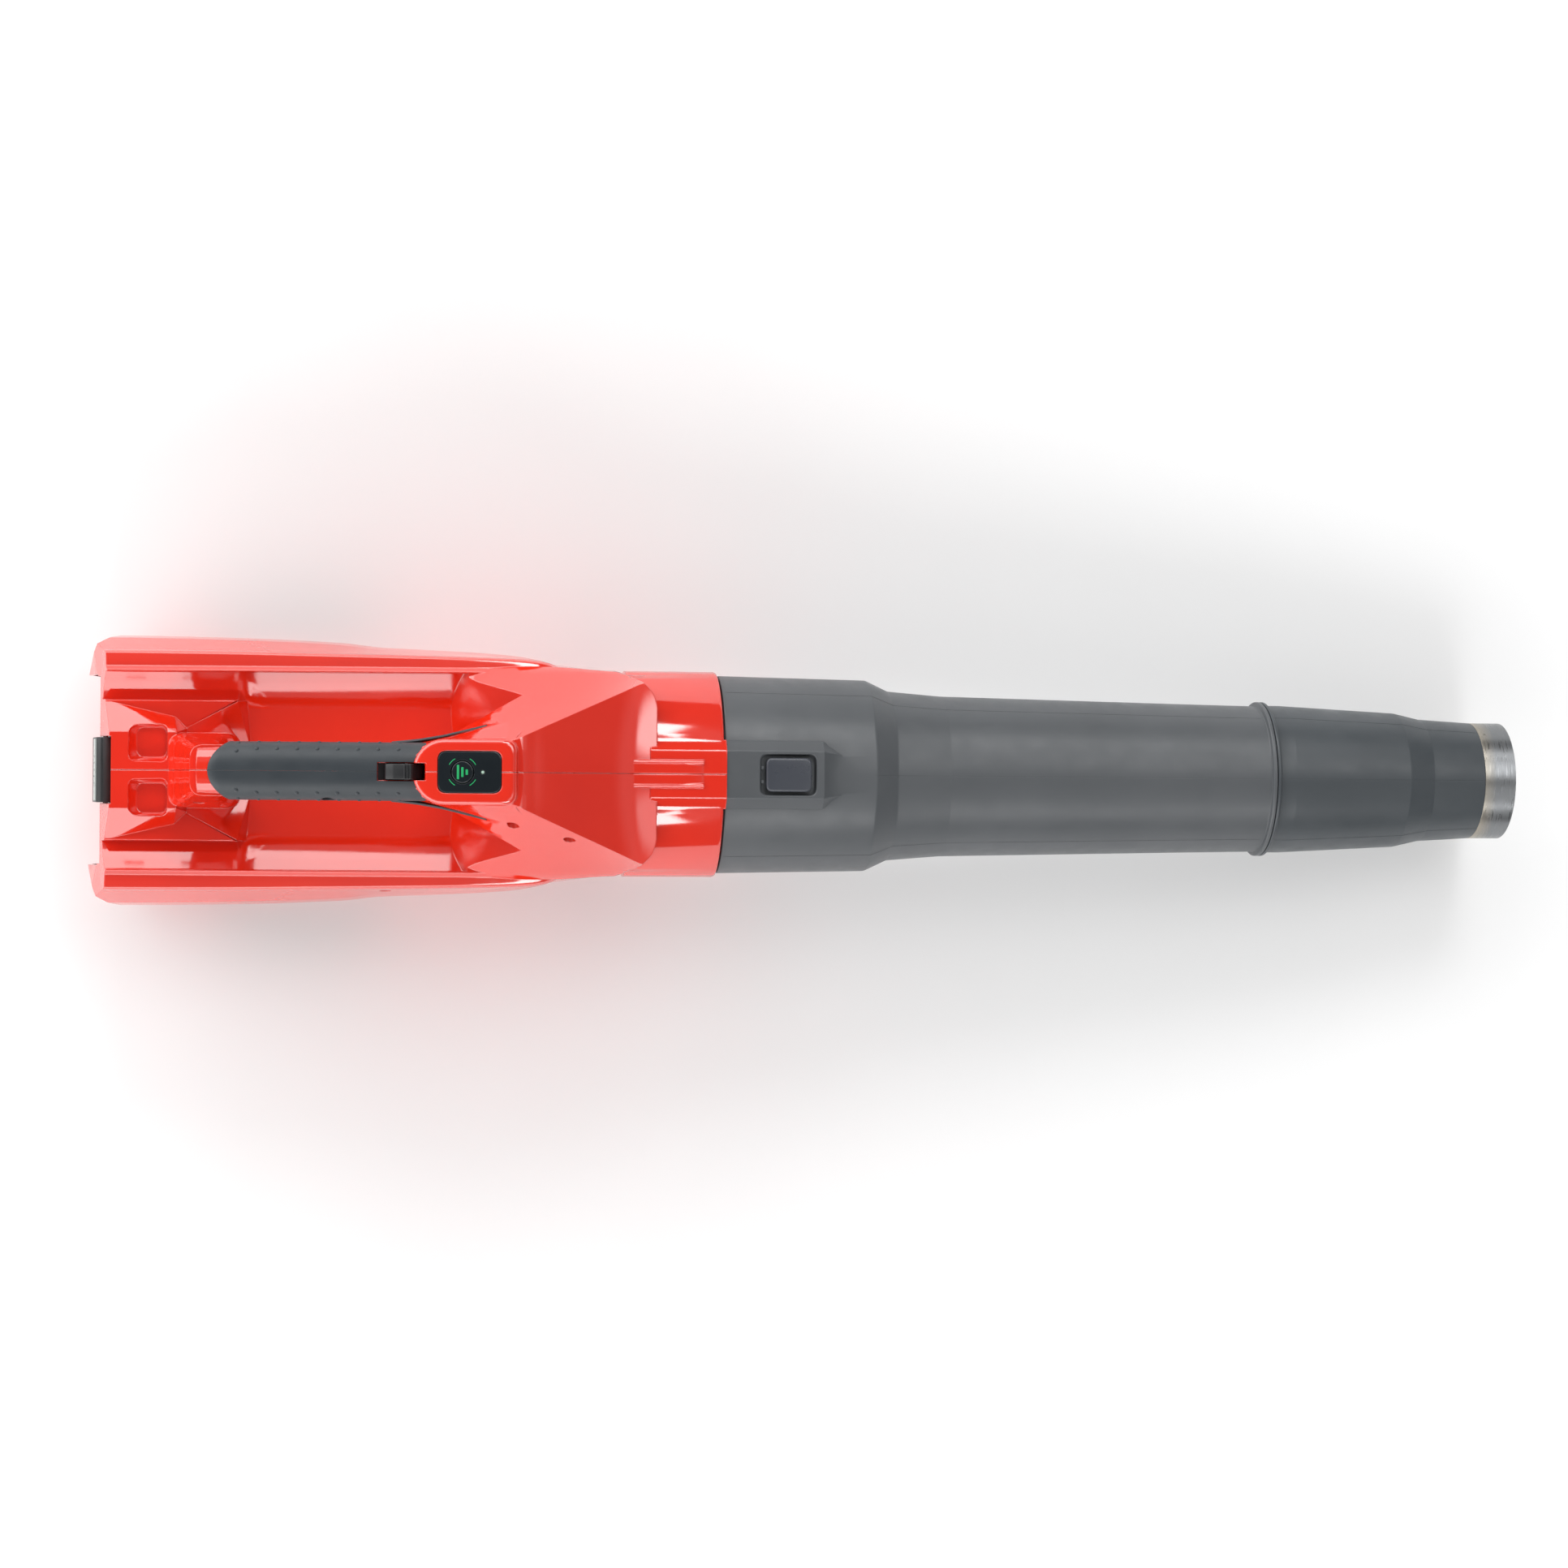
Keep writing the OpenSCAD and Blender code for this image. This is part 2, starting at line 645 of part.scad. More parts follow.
// thumb wheel with a ribbed tab that sets the cruise speed
module cruise_lever() {
    color([0.05, 0.05, 0.06]) body_frame() difference() {
        union() {
            rod_y(11.5, cruise_x, cruise_z, -4.9, 4.9);
            translate([cruise_x, 4.9, cruise_z]) rotate([90, 0, 0]) linear_extrude(9.8)
                polygon([[-13, 8.5], [-12, 12.5], [-6, 15.6], [2.4, 16.4], [3.2, 15], [4.6, 15], [5.4,
                    14.6], [7.2, 8]]);
        }
        rod_y(pin_r + run, cruise_x, cruise_z, -20, 20);
    }
}

module turbo_panel() {
    color([0.03, 0.03, 0.04]) body_frame() difference() {
        union() {
            translate([panel_x, 0, pod_top - 1.95]) rounded_plate(panel_l, panel_w, 6, 1.8);
            translate([panel_x, 0, pod_top - 5]) rounded_plate(panel_l - 5.7, panel_w - 6.4, 4, 3.1);
        }
        translate([turbo_x, 0, pod_top - 9]) cylinder(r = turbo_r + gap, h = 20);
        translate([lens_x, 0, pod_top - 9]) cylinder(r = 1.4, h = 20);
    }
}

module turbo_button() {
    color([0.05, 0.06, 0.06]) body_frame() {
        translate([turbo_x, 0, pod_top - 6.6]) cylinder(r = turbo_r, h = 6.9);
        translate([turbo_x, 0, pod_top - 7.4]) cylinder(r = turbo_r + 1.4, h = 1.8);
    }
}

module turbo_spring() {
    color([0.7, 0.7, 0.72]) body_frame() translate([turbo_x, 0, board_z + 1.65]) spring(5.2, 0.35, 3.9, 2);
}

module switch_board() {
    color([0.08, 0.30, 0.14]) body_frame() {
        translate([turbo_x + 5.9, 0, board_z]) rounded_plate(34, 24, 3, 1.6);
        translate([turbo_x, 0, board_z + 1.6]) cylinder(r = 3, h = 2.2);
        translate([lens_x - 1.5, -1.5, board_z + 1.6]) cube([3, 3, 1.6]);
    }
}

module status_lens() {
    color([0.7, 0.9, 0.75]) body_frame() translate([lens_x, 0, board_z + 3.3]) cylinder(r = 1.2, h = 10);
}

module battery_latch() {
    color([0.20, 0.20, 0.21]) body_frame() difference() {
        translate([0, latch_w / 2, 0]) rotate([90, 0, 0]) linear_extrude(latch_w) polygon([
            [latch_x + 4, latch_z + 9], [latch_x - 4, latch_z + 13], [latch_x - 8, latch_z + 10],
            [latch_x - 16, pack_top + 9], [latch_x - 17, pack_top + 5], [latch_x - 14, pack_top + 2],
            [latch_x - 9.5, pack_top + 0.3], [latch_x - 5.5, pack_top + 0.3], [latch_x - 5, pack_top + 8],
            [latch_x + 4, latch_z - 6]]);
        rod_y(pin_r + run, latch_x, latch_z, -far / 2, far / 2);
    }
}

module latch_spring() {
    color([0.7, 0.7, 0.72]) body_frame() translate([latch_x + 4.1, 0, latch_z + 5.5]) rotate([0, 90, 0])
        spring(2.6, 0.4, 4.6, 2);
}

// ---------------------------------------------------------------- fan duct and motor
vanes = 7;
module fan_duct() {
    color([0.10, 0.10, 0.11]) duct_frame() difference() {
        union() {
            turned([[duct_r, -96], [duct_r + 1.6, -104], [bore_r - 1.5, inlet_s], [bore_r - 0.3, inlet_s],
                [spigot_r, -100], [spigot_r, 8], [spigot_r - 1.4, 8.4], [spigot_r - 1.4, 12.6],
                    [spigot_r, 13],
                [spigot_r, spigot_len - 2], [spigot_r - 1, spigot_len], [duct_r, spigot_len]]);
            // motor cup
            difference() {
                ring(cup_r, 0, cup_s, cup_end);
                ring(motor_r + 0.1, 0, cup_s + 3, cup_end + 1);
            }
            for (i = [0 : vanes - 1]) rotate([360 * (i + 0.5) / vanes, 0, 0])
                translate([0, 0, cup_r - 0.6]) linear_extrude(duct_r - cup_r + 1.2)
                    polygon([[cup_s + 6, -5.2], [cup_s + 18, -2.6], [cup_end - 4, -0.7], [cup_end - 4, 0.7],
                        [cup_s + 17, -0.6], [cup_s + 5, -3.8]]);
        }
        // front bearing seat and shaft hole
        ring(8.1, 0, cup_s + 1, cup_s + 10);
        ring(shaft_r + 1, 0, cup_s - 5, cup_s + 5);
        // catch window for the release button
        translate([button_s - 6.5, -6.5, duct_r - 5]) cube([13, 13, 20]);
    }
}

module inlet_guard() {
    color([0.05, 0.05, 0.06]) duct_frame() {
        for (r = [16, 30, 44, 58]) ring(r, r - 1.8, inlet_s + 0.5, inlet_s + 3.5);
        ring(bore_r - 0.5, bore_r - 2.4, inlet_s - 2.6, inlet_s - 0.1);
        for (i = [0 : 7]) rotate([45 * i, 0, 0]) translate([inlet_s - 2.6, -1, 14.5])
            cube([2.6, 2, duct_r - 10]);
        for (i = [0 : 7]) rotate([45 * i, 0, 0]) translate([inlet_s - 0.1, -1, 14.5])
            cube([2.2, 2, duct_r - 14.9]);
    }
}

module duct_isolators() {
    color([0.04, 0.04, 0.04]) duct_frame()
        for (s = [-48, -14]) ring(bore_r - 0.3, spigot_r + 0.05, s, s + 8);
}

slots = 9;
stack = [cup_s + 14, cup_end - 8];
module motor_stator() {
    color([0.45, 0.46, 0.48]) duct_frame() difference() {
        ring(motor_r, 12.4, stack[0], stack[1]);
        for (i = [0 : slots - 1]) rotate([360 * i / slots, 0, 0]) {
            translate([stack[0] - 1, -3.4, 14.4]) cube([stack[1] - stack[0] + 2, 6.8, 6.2]);
            translate([stack[0] - 1, -1, 11]) cube([stack[1] - stack[0] + 2, 2, 4]);
        }
    }
}

module motor_windings() {
    color([0.72, 0.38, 0.16]) duct_frame()
        for (i = [0 : slots - 1]) rotate([360 * (i + 0.5) / slots, 0, 0])
            for (s = [stack[0] - 3.1, stack[1] + 0.1]) translate([s, -3.4, 14.6]) cube([3, 6.8, 5.4]);
}

module motor_rotor() {
    color([0.30, 0.30, 0.32]) duct_frame() ring(11.7, shaft_r + press, stack[0] + 1, stack[1] - 1);
}

module motor_shaft() {
    color([0.75, 0.76, 0.78]) duct_frame() ring(shaft_r, 0, impeller_s - 12, cup_end - 0.6);
}

module motor_bearings() {
    color([0.65, 0.66, 0.68]) duct_frame() {
        ring(8, shaft_r + run, cup_s + 1.1, cup_s + 7);
        ring(8, shaft_r + run, cup_end - 6, cup_end - 1);
    }
}

module motor_cap() {
    color([0.10, 0.10, 0.11]) duct_frame() difference() {
        ring(motor_r, 8.1, cup_end - 4, cup_end + 1.4);
        for (i = [0 : 5]) rotate([60 * i, 0, 0]) translate([cup_end - 5, 0, 16.4]) rotate([0, 90, 0])
            cylinder(r = 3.4, h = 10);
    }
}

// blade section at radius r: leading edge first, with its own stagger angle
tip_radius = duct_r - tip_gap;
function blade_ring(r) =
    let (a = 34 + 28 * (r - hub_r) / (tip_radius - hub_r), c = 23)
    [for (p = [[-0.5, 0], [-0.2, 0.3], [0.2, 0.5], [0.5, 0.3], [0.2, 1.8], [-0.2, 1.9]])
        let (u = p[0] * c, v = p[1] - 1,
             s = u * cos(a) - v * sin(a), t = u * sin(a) + v * cos(a))
        [impeller_s + 14 + s, r * sin(t * 57.3 / r), r * cos(t * 57.3 / r)]];

module impeller() {
    color([0.08, 0.08, 0.09]) duct_frame() {
        difference() {
            turned([[shaft_r + press, impeller_s - 4], [9, impeller_s - 4], [18, impeller_s - 1], [24,
                impeller_s + 4],
                [hub_r, impeller_s + 10], [hub_r, impeller_s + impeller_l], [hub_r - 2.4,
                    impeller_s + impeller_l],
                [hub_r - 2.4, impeller_s + 10], [20, impeller_s + 6], [8, impeller_s + 4],
                [8, impeller_s + impeller_l], [shaft_r + press, impeller_s + impeller_l]]);
            ring(shaft_r + press, 0, impeller_s - 6, impeller_s + 30);
        }
        for (i = [0 : blades - 1]) rotate([360 * i / blades, 0, 0])
            skin([for (k = [0 : 3]) blade_ring(hub_r - 1.2 + (tip_radius - hub_r + 1.2) * k / 3)]);
    }
}

module impeller_nut() {
    color([0.6, 0.6, 0.62]) duct_frame() difference() {
        translate([impeller_s - 10, 0, 0]) rotate([0, 90, 0]) cylinder(r = 6.2, h = 5.9, $fn = 6);
        ring(shaft_r + press, 0, impeller_s - 20, impeller_s);
    }
}

module tail_cone() {
    color([0.09, 0.09, 0.10]) duct_frame()
        turned([[cup_r - 0.4, cup_end + 1.5], [cup_r - 1.5, cup_end + 12], [cup_r - 6, cup_end + 30],
            [13, cup_end + 50],
            [4, cup_end + 58], [1, cup_end + 59], [1, cup_end + 56.6], [4, cup_end + 55], [11,
                cup_end + 49],
            [cup_r - 8, cup_end + 29], [cup_r - 3.4, cup_end + 12], [cup_r - 2.4, cup_end + 1.5]]);
}

module spigot_seal() {
    color([0.04, 0.04, 0.04]) duct_frame() ring(spigot_r + 0.05, spigot_r - 1.3, 8.6, 12.4);
}

// ---------------------------------------------------------------- tube, button and nozzle
// outer radius at a few stations along the tube
shoulder_r = tube_r + 7.3;
neck_r = tube_r + 4.3;
key_s = tube_len - 15;       // bayonet groove
twist = 24;                  // turn that frees the nozzle
spig_out = tube_r - tube_wall - gap;

module tube() {
    color([0.17, 0.18, 0.19]) duct_frame() difference() {
        union() {
            turned([[collar_in, joint_gap], [collar_r, joint_gap], [collar_r - 2.1, collar_len],
                [shoulder_r, collar_len + shoulder_len], [neck_r, 154], [tube_r + 0.8, 327],
                [tube_r, tube_len - 5], [tube_r, tube_len - 3.4], [tube_r + 2.9, tube_len - 2.8],
                [tube_r + 2.9, tube_len - 0.2], [tube_r - tube_wall, tube_len - 0.2],
                [tube_r - tube_wall, 327], [neck_r - tube_wall, 154], [shoulder_r - tube_wall,
                    collar_len + shoulder_len + 1],
                [collar_r - 2.1 - tube_wall, collar_len + 0.6], [collar_in, 70]]);
            intersection() {
                top_pad(pad_top, joint_gap, 85);
                translate([0, 40, 0]) rotate([90, 0, 0]) linear_extrude(80)
                    polygon([[joint_gap, 55], [joint_gap, pad_top + 1], [67, pad_top + 1], [85,
                        collar_r - 2], [85, 55]]);
                ring(100, collar_in, joint_gap, 90);
            }
        }
        // button well and its stem hole
        translate([button_s, 0, well_floor]) rounded_plate(well_l, well_w, 5, 20);
        translate([button_s - 6, -6, collar_in - 8]) cube([12, 12, 20]);
        // bayonet groove and its three entries
        ring(tube_r - 1, 10, key_s - 3, key_s + 3);
        for (a = lug_angles) rotate([a + twist, 0, 0]) translate([key_s, -8.5, 0])
            cube([30, 17, tube_r - 1]);
    }
}

module release_button() {
    color([0.14, 0.15, 0.17]) duct_frame() {
        translate([button_s, 0, pad_top - 1.4]) rounded_plate(button_l, button_w, 4.2, 2.4);
        translate([button_s, 0, pad_top + 0.9]) rounded_plate(button_l - 2.4, button_w - 2.4, 3.4, 0.7);
        // stem, ending just short of the spigot it would catch
        translate([button_s - 5.5, -5.5, spigot_r + 0.3]) cube([11, 11, pad_top - spigot_r - 1.4]);
    }
}

module release_spring() {
    color([0.7, 0.7, 0.72]) duct_frame() translate([button_s, 0, well_floor + 0.05])
        spring(8.6, 0.4, pad_top - 1.5 - well_floor, 2);
}

module nozzle() {
    n0 = tube_len + 0.4;
    lip = tip_s - ring_w - 1.5;
    color([0.12, 0.13, 0.14]) duct_frame() {
        turned([[spig_out, tube_len - 22], [spig_out, n0 - 0.2], [tube_r + 2.9, n0 - 0.2],
            [tube_r + 2.9, n0 + 2.2],
            [nozzle_r, n0 + 2.8], [nozzle_r, tube_len + 14], [tip_r + 6.3, tube_len + 95],
                [tip_r + 2.2, tube_len + 113],
            [tip_r, lip], [tip_r - 1, lip], [tip_r - 1, tip_s - 1], [tip_r - 3, tip_s - 1], [tip_r - 3,
                lip - 1],
            [tip_r + 2.2 - tube_wall, tube_len + 113], [tip_r + 6.3 - tube_wall, tube_len + 95],
            [nozzle_r - tube_wall, tube_len + 14], [spig_out - tube_wall, n0], [spig_out - tube_wall,
                tube_len - 22]]);
        // bayonet lugs
        for (a = lug_angles) rotate([a, 0, 0]) intersection() {
            ring(tube_r - 1.4, spig_out - 1, key_s - 2, key_s + 2);
            translate([key_s - 5, -7, 0]) cube([10, 14, 100]);
        }
    }
}

module nozzle_ring() {
    color([0.62, 0.61, 0.59]) duct_frame() difference() {
        turned([[tip_r - 0.9, tip_s - ring_w - 1.4], [tip_r, tip_s - ring_w - 1.4], [tip_r, tip_s],
            [tip_r - 3, tip_s], [tip_r - 3, tip_s - 0.9], [tip_r - 0.9, tip_s - 0.9]]);
        for (i = [0 : 3]) rotate([38 + 90 * i, 0, 0]) translate([tip_s - ring_w + 3, 0, tip_r - 0.35])
            cylinder(r = 1.1, h = 4);
    }
}

// ---------------------------------------------------------------- battery pack
split_z = pack_z + 36;
skin_t = 2.2;
pack_mid = pack_back + pack_l / 2;

module pack_case(from, to, open_up) {
    difference() {
        translate([pack_mid, 0, from]) rounded_plate(pack_l, pack_w, 7, to - from);
        translate([pack_mid, 0, open_up ? from + skin_t : from - 1])
            rounded_plate(pack_l - 2 * skin_t, pack_w - 2 * skin_t, 5, to - from - skin_t + 1);
    }
}

module pack_case_upper() {
    color([0.09, 0.09, 0.10]) body_frame() difference() {
        union() {
            pack_case(split_z + 0.05, pack_top, false);
            // pads that the cell holder hangs from
            for (i = [-1, 1], j = [-1, 1]) translate([pack_mid + i * (pack_l / 2 - 9),
                j * (pack_w / 2 - 9), split_z + 0.05])
                cylinder(r = 4, h = pack_top - split_z - 1);
        }
        for (y = blade_y) block([pack_front - 4, pack_front + 2], [y - 1.4, y + 1.4], [blade_z - 5.5,
            blade_z + 5.5]);
        // catch notch, and a finger recess at the rear
        block([pack_back + 1.2, pack_back + 7], [-latch_w / 2 - 1, latch_w / 2 + 1], [pack_top - 1.2,
            pack_top + 5]);
        for (i = [-1, 1], j = [-1, 1]) translate([pack_mid + i * (pack_l / 2 - 9),
            j * (pack_w / 2 - 9), split_z - 1])
            cylinder(r = 1.6, h = 20);
        block([pack_back - 1, pack_back + 1], [-24.2, 24.2], [split_z + 9.8, split_z + 20.2]);
    }
}

module pack_case_lower() {
    color([0.14, 0.14, 0.15]) body_frame() difference() {
        union() {
            pack_case(pack_z, split_z - 0.05, true);
            for (i = [-1, 1], j = [-1, 1]) translate([pack_mid + i * (pack_l / 2 - 9),
                j * (pack_w / 2 - 9), pack_z + 1])
                cylinder(r = 4, h = split_z - pack_z - 1.05);
        }
        for (i = [-1, 1], j = [-1, 1]) translate([pack_mid + i * (pack_l / 2 - 9),
            j * (pack_w / 2 - 9), pack_z - 1]) {
            cylinder(r = 3.4, h = 6);
            cylinder(r = 1.8, h = 60);
        }
    }
}

cell_l = (pack_l - 30) / 2;     // two rows of cells, end to end
cell_pitch = 2 * cell_r + 0.2;
function cell_spots() = [for (k = [0, 1], j = [0, 1], i = [-1.5 : 1.5])
    [pack_back + 6 + k * (cell_l + 4), i * cell_pitch, pack_z + 3.6 + cell_r + j * cell_pitch]];

module pack_cells() {
    color([0.20, 0.45, 0.60]) body_frame()
        for (p = cell_spots()) translate(p) rotate([0, 90, 0]) {
            cylinder(r = cell_r, h = cell_l - 1);
            cylinder(r = 4, h = cell_l);
        }
}

module pack_cell_holder() {
    w = 2 * cell_pitch - 1;
    color([0.05, 0.05, 0.06]) body_frame() difference() {
        for (k = [0, 1], e = [6, cell_l - 12]) translate([pack_back + 6 + k * (cell_l + 4) + e, 0, 0])
            block([0, 5], [-w, w], [pack_z + 3, pack_z + 4.2 + 2 * cell_pitch]);
        for (p = cell_spots()) translate([p[0] - 1, p[1], p[2]]) rotate([0, 90, 0])
            cylinder(r = cell_r + 0.05, h = cell_l + 2);
    }
}

module pack_board() {
    z = pack_top - 12;
    color([0.08, 0.30, 0.14]) body_frame() {
        block([pack_back + 14, pack_front - 28], [-40, 40], [z, z + 1.6]);
        for (i = [0 : 4]) block([pack_back + 26 + i * 20, pack_back + 34 + i * 20], [-30, -20],
            [z + 1.6, z + 4.6]);
        block([pack_back + 30, pack_back + 48], [4, 22], [z + 1.6, z + 4]);
    }
}

module pack_contacts() {
    color([0.80, 0.62, 0.30]) body_frame()
        for (y = blade_y, i = [-1, 1])
            block([pack_front - 14, pack_front - 4.2], [min(y + i * 0.75, y + i * 1.35),
                max(y + i * 0.75, y + i * 1.35)],
                [blade_z - 4, blade_z + 4]);
}

module pack_gauge() {
    color([0.85, 0.86, 0.86]) body_frame() {
        block([pack_back + 0.2, pack_back + 0.95], [-24, 24], [split_z + 10, split_z + 20]);
        for (i = [0 : 3]) block([pack_back - 0.4, pack_back + 0.2], [i * 8 - 20, i * 8 - 15],
            [split_z + 13, split_z + 17]);
        translate([pack_back + 0.2, 17, split_z + 15]) rotate([0, -90, 0]) cylinder(r = 3, h = 0.8);
    }
}

module pack_screws() {
    color([0.4, 0.4, 0.42]) body_frame()
        for (i = [-1, 1], j = [-1, 1]) translate([pack_mid + i * (pack_l / 2 - 9),
            j * (pack_w / 2 - 9), pack_z + 2.5]) {
            cylinder(r = 3.2, h = 2.4);
            cylinder(r = 1.5, h = 48);
        }
}

color([0.80, 0.09, 0.05]) shell_half(1, $fn = 16);  // housing_left
color([0.80, 0.09, 0.05]) shell_half(-1, $fn = 16);  // housing_right
grip_half(1, $fn = 16);  // grip_left
grip_half(-1, $fn = 16);  // grip_right
grille_half(1);  // intake_grille_left
grille_half(-1);  // intake_grille_right
feet();
housing_screws();
battery_bay();
terminal_block();
terminal_blades();
controller_case();
controller_board();
power_leads();
motor_leads();
signal_lead();
trigger();
pin_y(trigger_x, trigger_z, 13.5);  // trigger_pin
trigger_spring();
trigger_switch();
cruise_lever();
pin_y(cruise_x, cruise_z, 12.5);  // cruise_pin
turbo_panel();
turbo_button();
turbo_spring();
switch_board();
status_lens();
battery_latch();
pin_y(latch_x, latch_z, latch_w / 2 + 6);  // latch_pin
latch_spring();
fan_duct();
duct_isolators();
inlet_guard();
motor_stator();
motor_windings();
motor_rotor();
motor_shaft();
motor_bearings();
motor_cap();
impeller();
impeller_nut();
tail_cone();
spigot_seal();
tube();
release_button();
release_spring();
nozzle();
nozzle_ring();
pack_case_upper();
pack_case_lower();
pack_cells();
pack_cell_holder();
pack_board();
pack_contacts();
pack_gauge();
pack_screws();
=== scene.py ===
import json
import math

import bmesh
import bpy
import numpy as np
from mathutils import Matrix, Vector


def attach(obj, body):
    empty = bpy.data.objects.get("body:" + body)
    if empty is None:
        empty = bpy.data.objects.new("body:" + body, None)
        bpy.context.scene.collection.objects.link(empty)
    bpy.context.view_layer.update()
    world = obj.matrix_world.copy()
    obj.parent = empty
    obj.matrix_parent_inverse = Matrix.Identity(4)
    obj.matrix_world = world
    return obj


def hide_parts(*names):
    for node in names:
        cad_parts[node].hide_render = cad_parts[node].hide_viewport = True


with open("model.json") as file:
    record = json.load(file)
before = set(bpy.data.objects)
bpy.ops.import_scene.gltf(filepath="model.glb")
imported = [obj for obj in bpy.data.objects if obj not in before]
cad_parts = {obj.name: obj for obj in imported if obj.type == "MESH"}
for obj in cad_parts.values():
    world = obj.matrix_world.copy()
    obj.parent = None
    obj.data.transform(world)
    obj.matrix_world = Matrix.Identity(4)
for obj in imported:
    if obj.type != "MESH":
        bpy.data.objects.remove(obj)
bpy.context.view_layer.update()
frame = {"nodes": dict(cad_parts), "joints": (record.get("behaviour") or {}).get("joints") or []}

# ---------------------------------------------------------------- frames
# L runs along X from the joint between housing and tube; s runs along the tilted duct axis.
MM = 0.001
twist = next(j for j in frame["joints"] if j["name"] == "nozzle_twist")
AXIS = Vector(twist["axis"])
UP = Vector((-AXIS.z, 0, AXIS.x))
JOINT = Vector(twist["pos_m"]) - 0.4 * AXIS
TAN = -AXIS.z / AXIS.x
DUCT_Z = JOINT.z / MM


def at(x, y, z):
    return Vector((JOINT.x + x * MM, y * MM, z * MM))


def duct(s, y, z):
    return JOINT + AXIS * s * MM + UP * z * MM + Vector((0, y * MM, 0))


# ---------------------------------------------------------------- mesh helpers
def add_object(name, verts, faces):
    me = bpy.data.meshes.new(name)
    me.from_pydata([tuple(v) for v in verts], [], faces)
    bm = bmesh.new()
    bm.from_mesh(me)
    bmesh.ops.recalc_face_normals(bm, faces=bm.faces)
    bm.to_mesh(me)
    bm.free()
    ob = bpy.data.objects.new(name, me)
    bpy.context.scene.collection.objects.link(ob)
    return ob


def loft(name, rings, caps=True, closed=True):
    n = len(rings[0])
    verts = [p for r in rings for p in r]
    faces = []
    for k in range(len(rings) - 1):
        for i in range(n if closed else n - 1):
            j = (i + 1) % n
            faces.append((k * n + i, k * n + j, (k + 1) * n + j, (k + 1) * n + i))
    if caps:
        faces.append(tuple(range(n - 1, -1, -1)))
        faces.append(tuple((len(rings) - 1) * n + i for i in range(n)))
    return add_object(name, verts, faces)


def corner(a, p, b, radius, k):
    """Points that round the corner p between a and b."""
    a, p, b = Vector(a), Vector(p), Vector(b)
    d1, d2 = (a - p), (b - p)
    l1, l2 = d1.length, d2.length
    if radius <= 0 or l1 < 1e-9 or l2 < 1e-9:
        return [p] * (k + 1)
    d1.normalize()
    d2.normalize()
    half = max(d1.angle(d2, math.pi) / 2, 0.05)
    t = min(radius / math.tan(half), 0.48 * l1, 0.48 * l2)
    return [p + d1 * t * (1 - u) ** 2 + d2 * t * u ** 2 for u in (i / k for i in range(k + 1))]


def open_round(points, radii, k=4):
    """Open outline with its inner corners rounded."""
    out = [Vector(points[0])]
    for i in range(1, len(points) - 1):
        r = radii[i - 1] if isinstance(radii, (list, tuple)) else radii
        out += corner(points[i - 1], points[i], points[i + 1], r, k)
    return out + [Vector(points[-1])]


def closed_round(points, radii, k=4):
    n = len(points)
    out = []
    for i in range(n):
        r = radii[i] if isinstance(radii, (list, tuple)) else radii
        out += corner(points[i - 1], points[i], points[(i + 1) % n], r, k)
    return out


def resample(points, n):
    """n points equally spaced along an open outline."""
    pts = np.array([tuple(p) for p in points], float)
    d = np.concatenate([[0], np.cumsum(np.linalg.norm(np.diff(pts, axis=0), axis=1))])
    t = np.linspace(0, d[-1], n)
    return np.stack([np.interp(t, d, pts[:, i]) for i in range(pts.shape[1])], 1)


def curve_through(xs, ys, x):
    """Smooth monotone interpolation of a station table."""
    xs, ys = np.array(xs, float), np.array(ys, float)
    d = np.diff(ys) / np.diff(xs)
    m = np.zeros(len(xs))
    m[0], m[-1] = d[0], d[-1]
    for i in range(1, len(xs) - 1):
        m[i] = 0 if d[i - 1] * d[i] <= 0 else 2 * d[i - 1] * d[i] / (d[i - 1] + d[i])
    i = int(np.clip(np.searchsorted(xs, x) - 1, 0, len(xs) - 2))
    h = xs[i + 1] - xs[i]
    t = float(np.clip((x - xs[i]) / h, 0, 1))
    return ((1 + 2 * t) * (1 - t) ** 2 * ys[i] + t * (1 - t) ** 2 * h * m[i]
            + t * t * (3 - 2 * t) * ys[i + 1] + t * t * (t - 1) * h * m[i + 1])


def mirrored(half):
    """Closed ring from a half outline that starts and ends on the centre plane."""
    return [tuple(p) for p in half] + [(-p[0], p[1]) for p in reversed([tuple(q) for q in half[1:-1]])]


def boolean(ob, tool, op="DIFFERENCE", keep=False):
    m = ob.modifiers.new("b", "BOOLEAN")
    m.object = tool
    m.operation = op
    m.solver = "MANIFOLD"
    graph = bpy.context.evaluated_depsgraph_get()
    me = bpy.data.meshes.new_from_object(ob.evaluated_get(graph))
    ob.modifiers.clear()
    ob.data = me
    if not keep:
        bpy.data.objects.remove(tool)
    return ob


def solid_box(x, y, z, place=at):
    v = [place(a, b, c) for a in x for b in y for c in z]
    f = [(0, 1, 3, 2), (4, 6, 7, 5), (0, 4, 5, 1), (2, 3, 7, 6), (0, 2, 6, 4), (1, 5, 7, 3)]
    return add_object("box", v, f)


def span(side, y0, y1):
    """Range of y on one side, low end first."""
    return tuple(sorted((side * y0, side * y1)))


def prism_z(outline, z0, z1, place=at):
    return loft("prism", [[place(p[0], p[1], z) for p in outline] for z in (z0, z1)])


def prism_y(outline, y0, y1, place=at):
    return loft("prism", [[place(p[0], y, p[1]) for p in outline] for y in (y0, y1)])


def prism_x(outline, x0, x1, place=at):
    return loft("prism", [[place(x, p[0], p[1]) for p in outline] for x in (x0, x1)])


def rounded_rect(cx, cy, lx, ly, r, k=6):
    hx, hy = lx / 2, ly / 2
    return closed_round([(cx - hx, cy - hy), (cx + hx, cy - hy), (cx + hx, cy + hy), (cx - hx, cy + hy)], r, k)


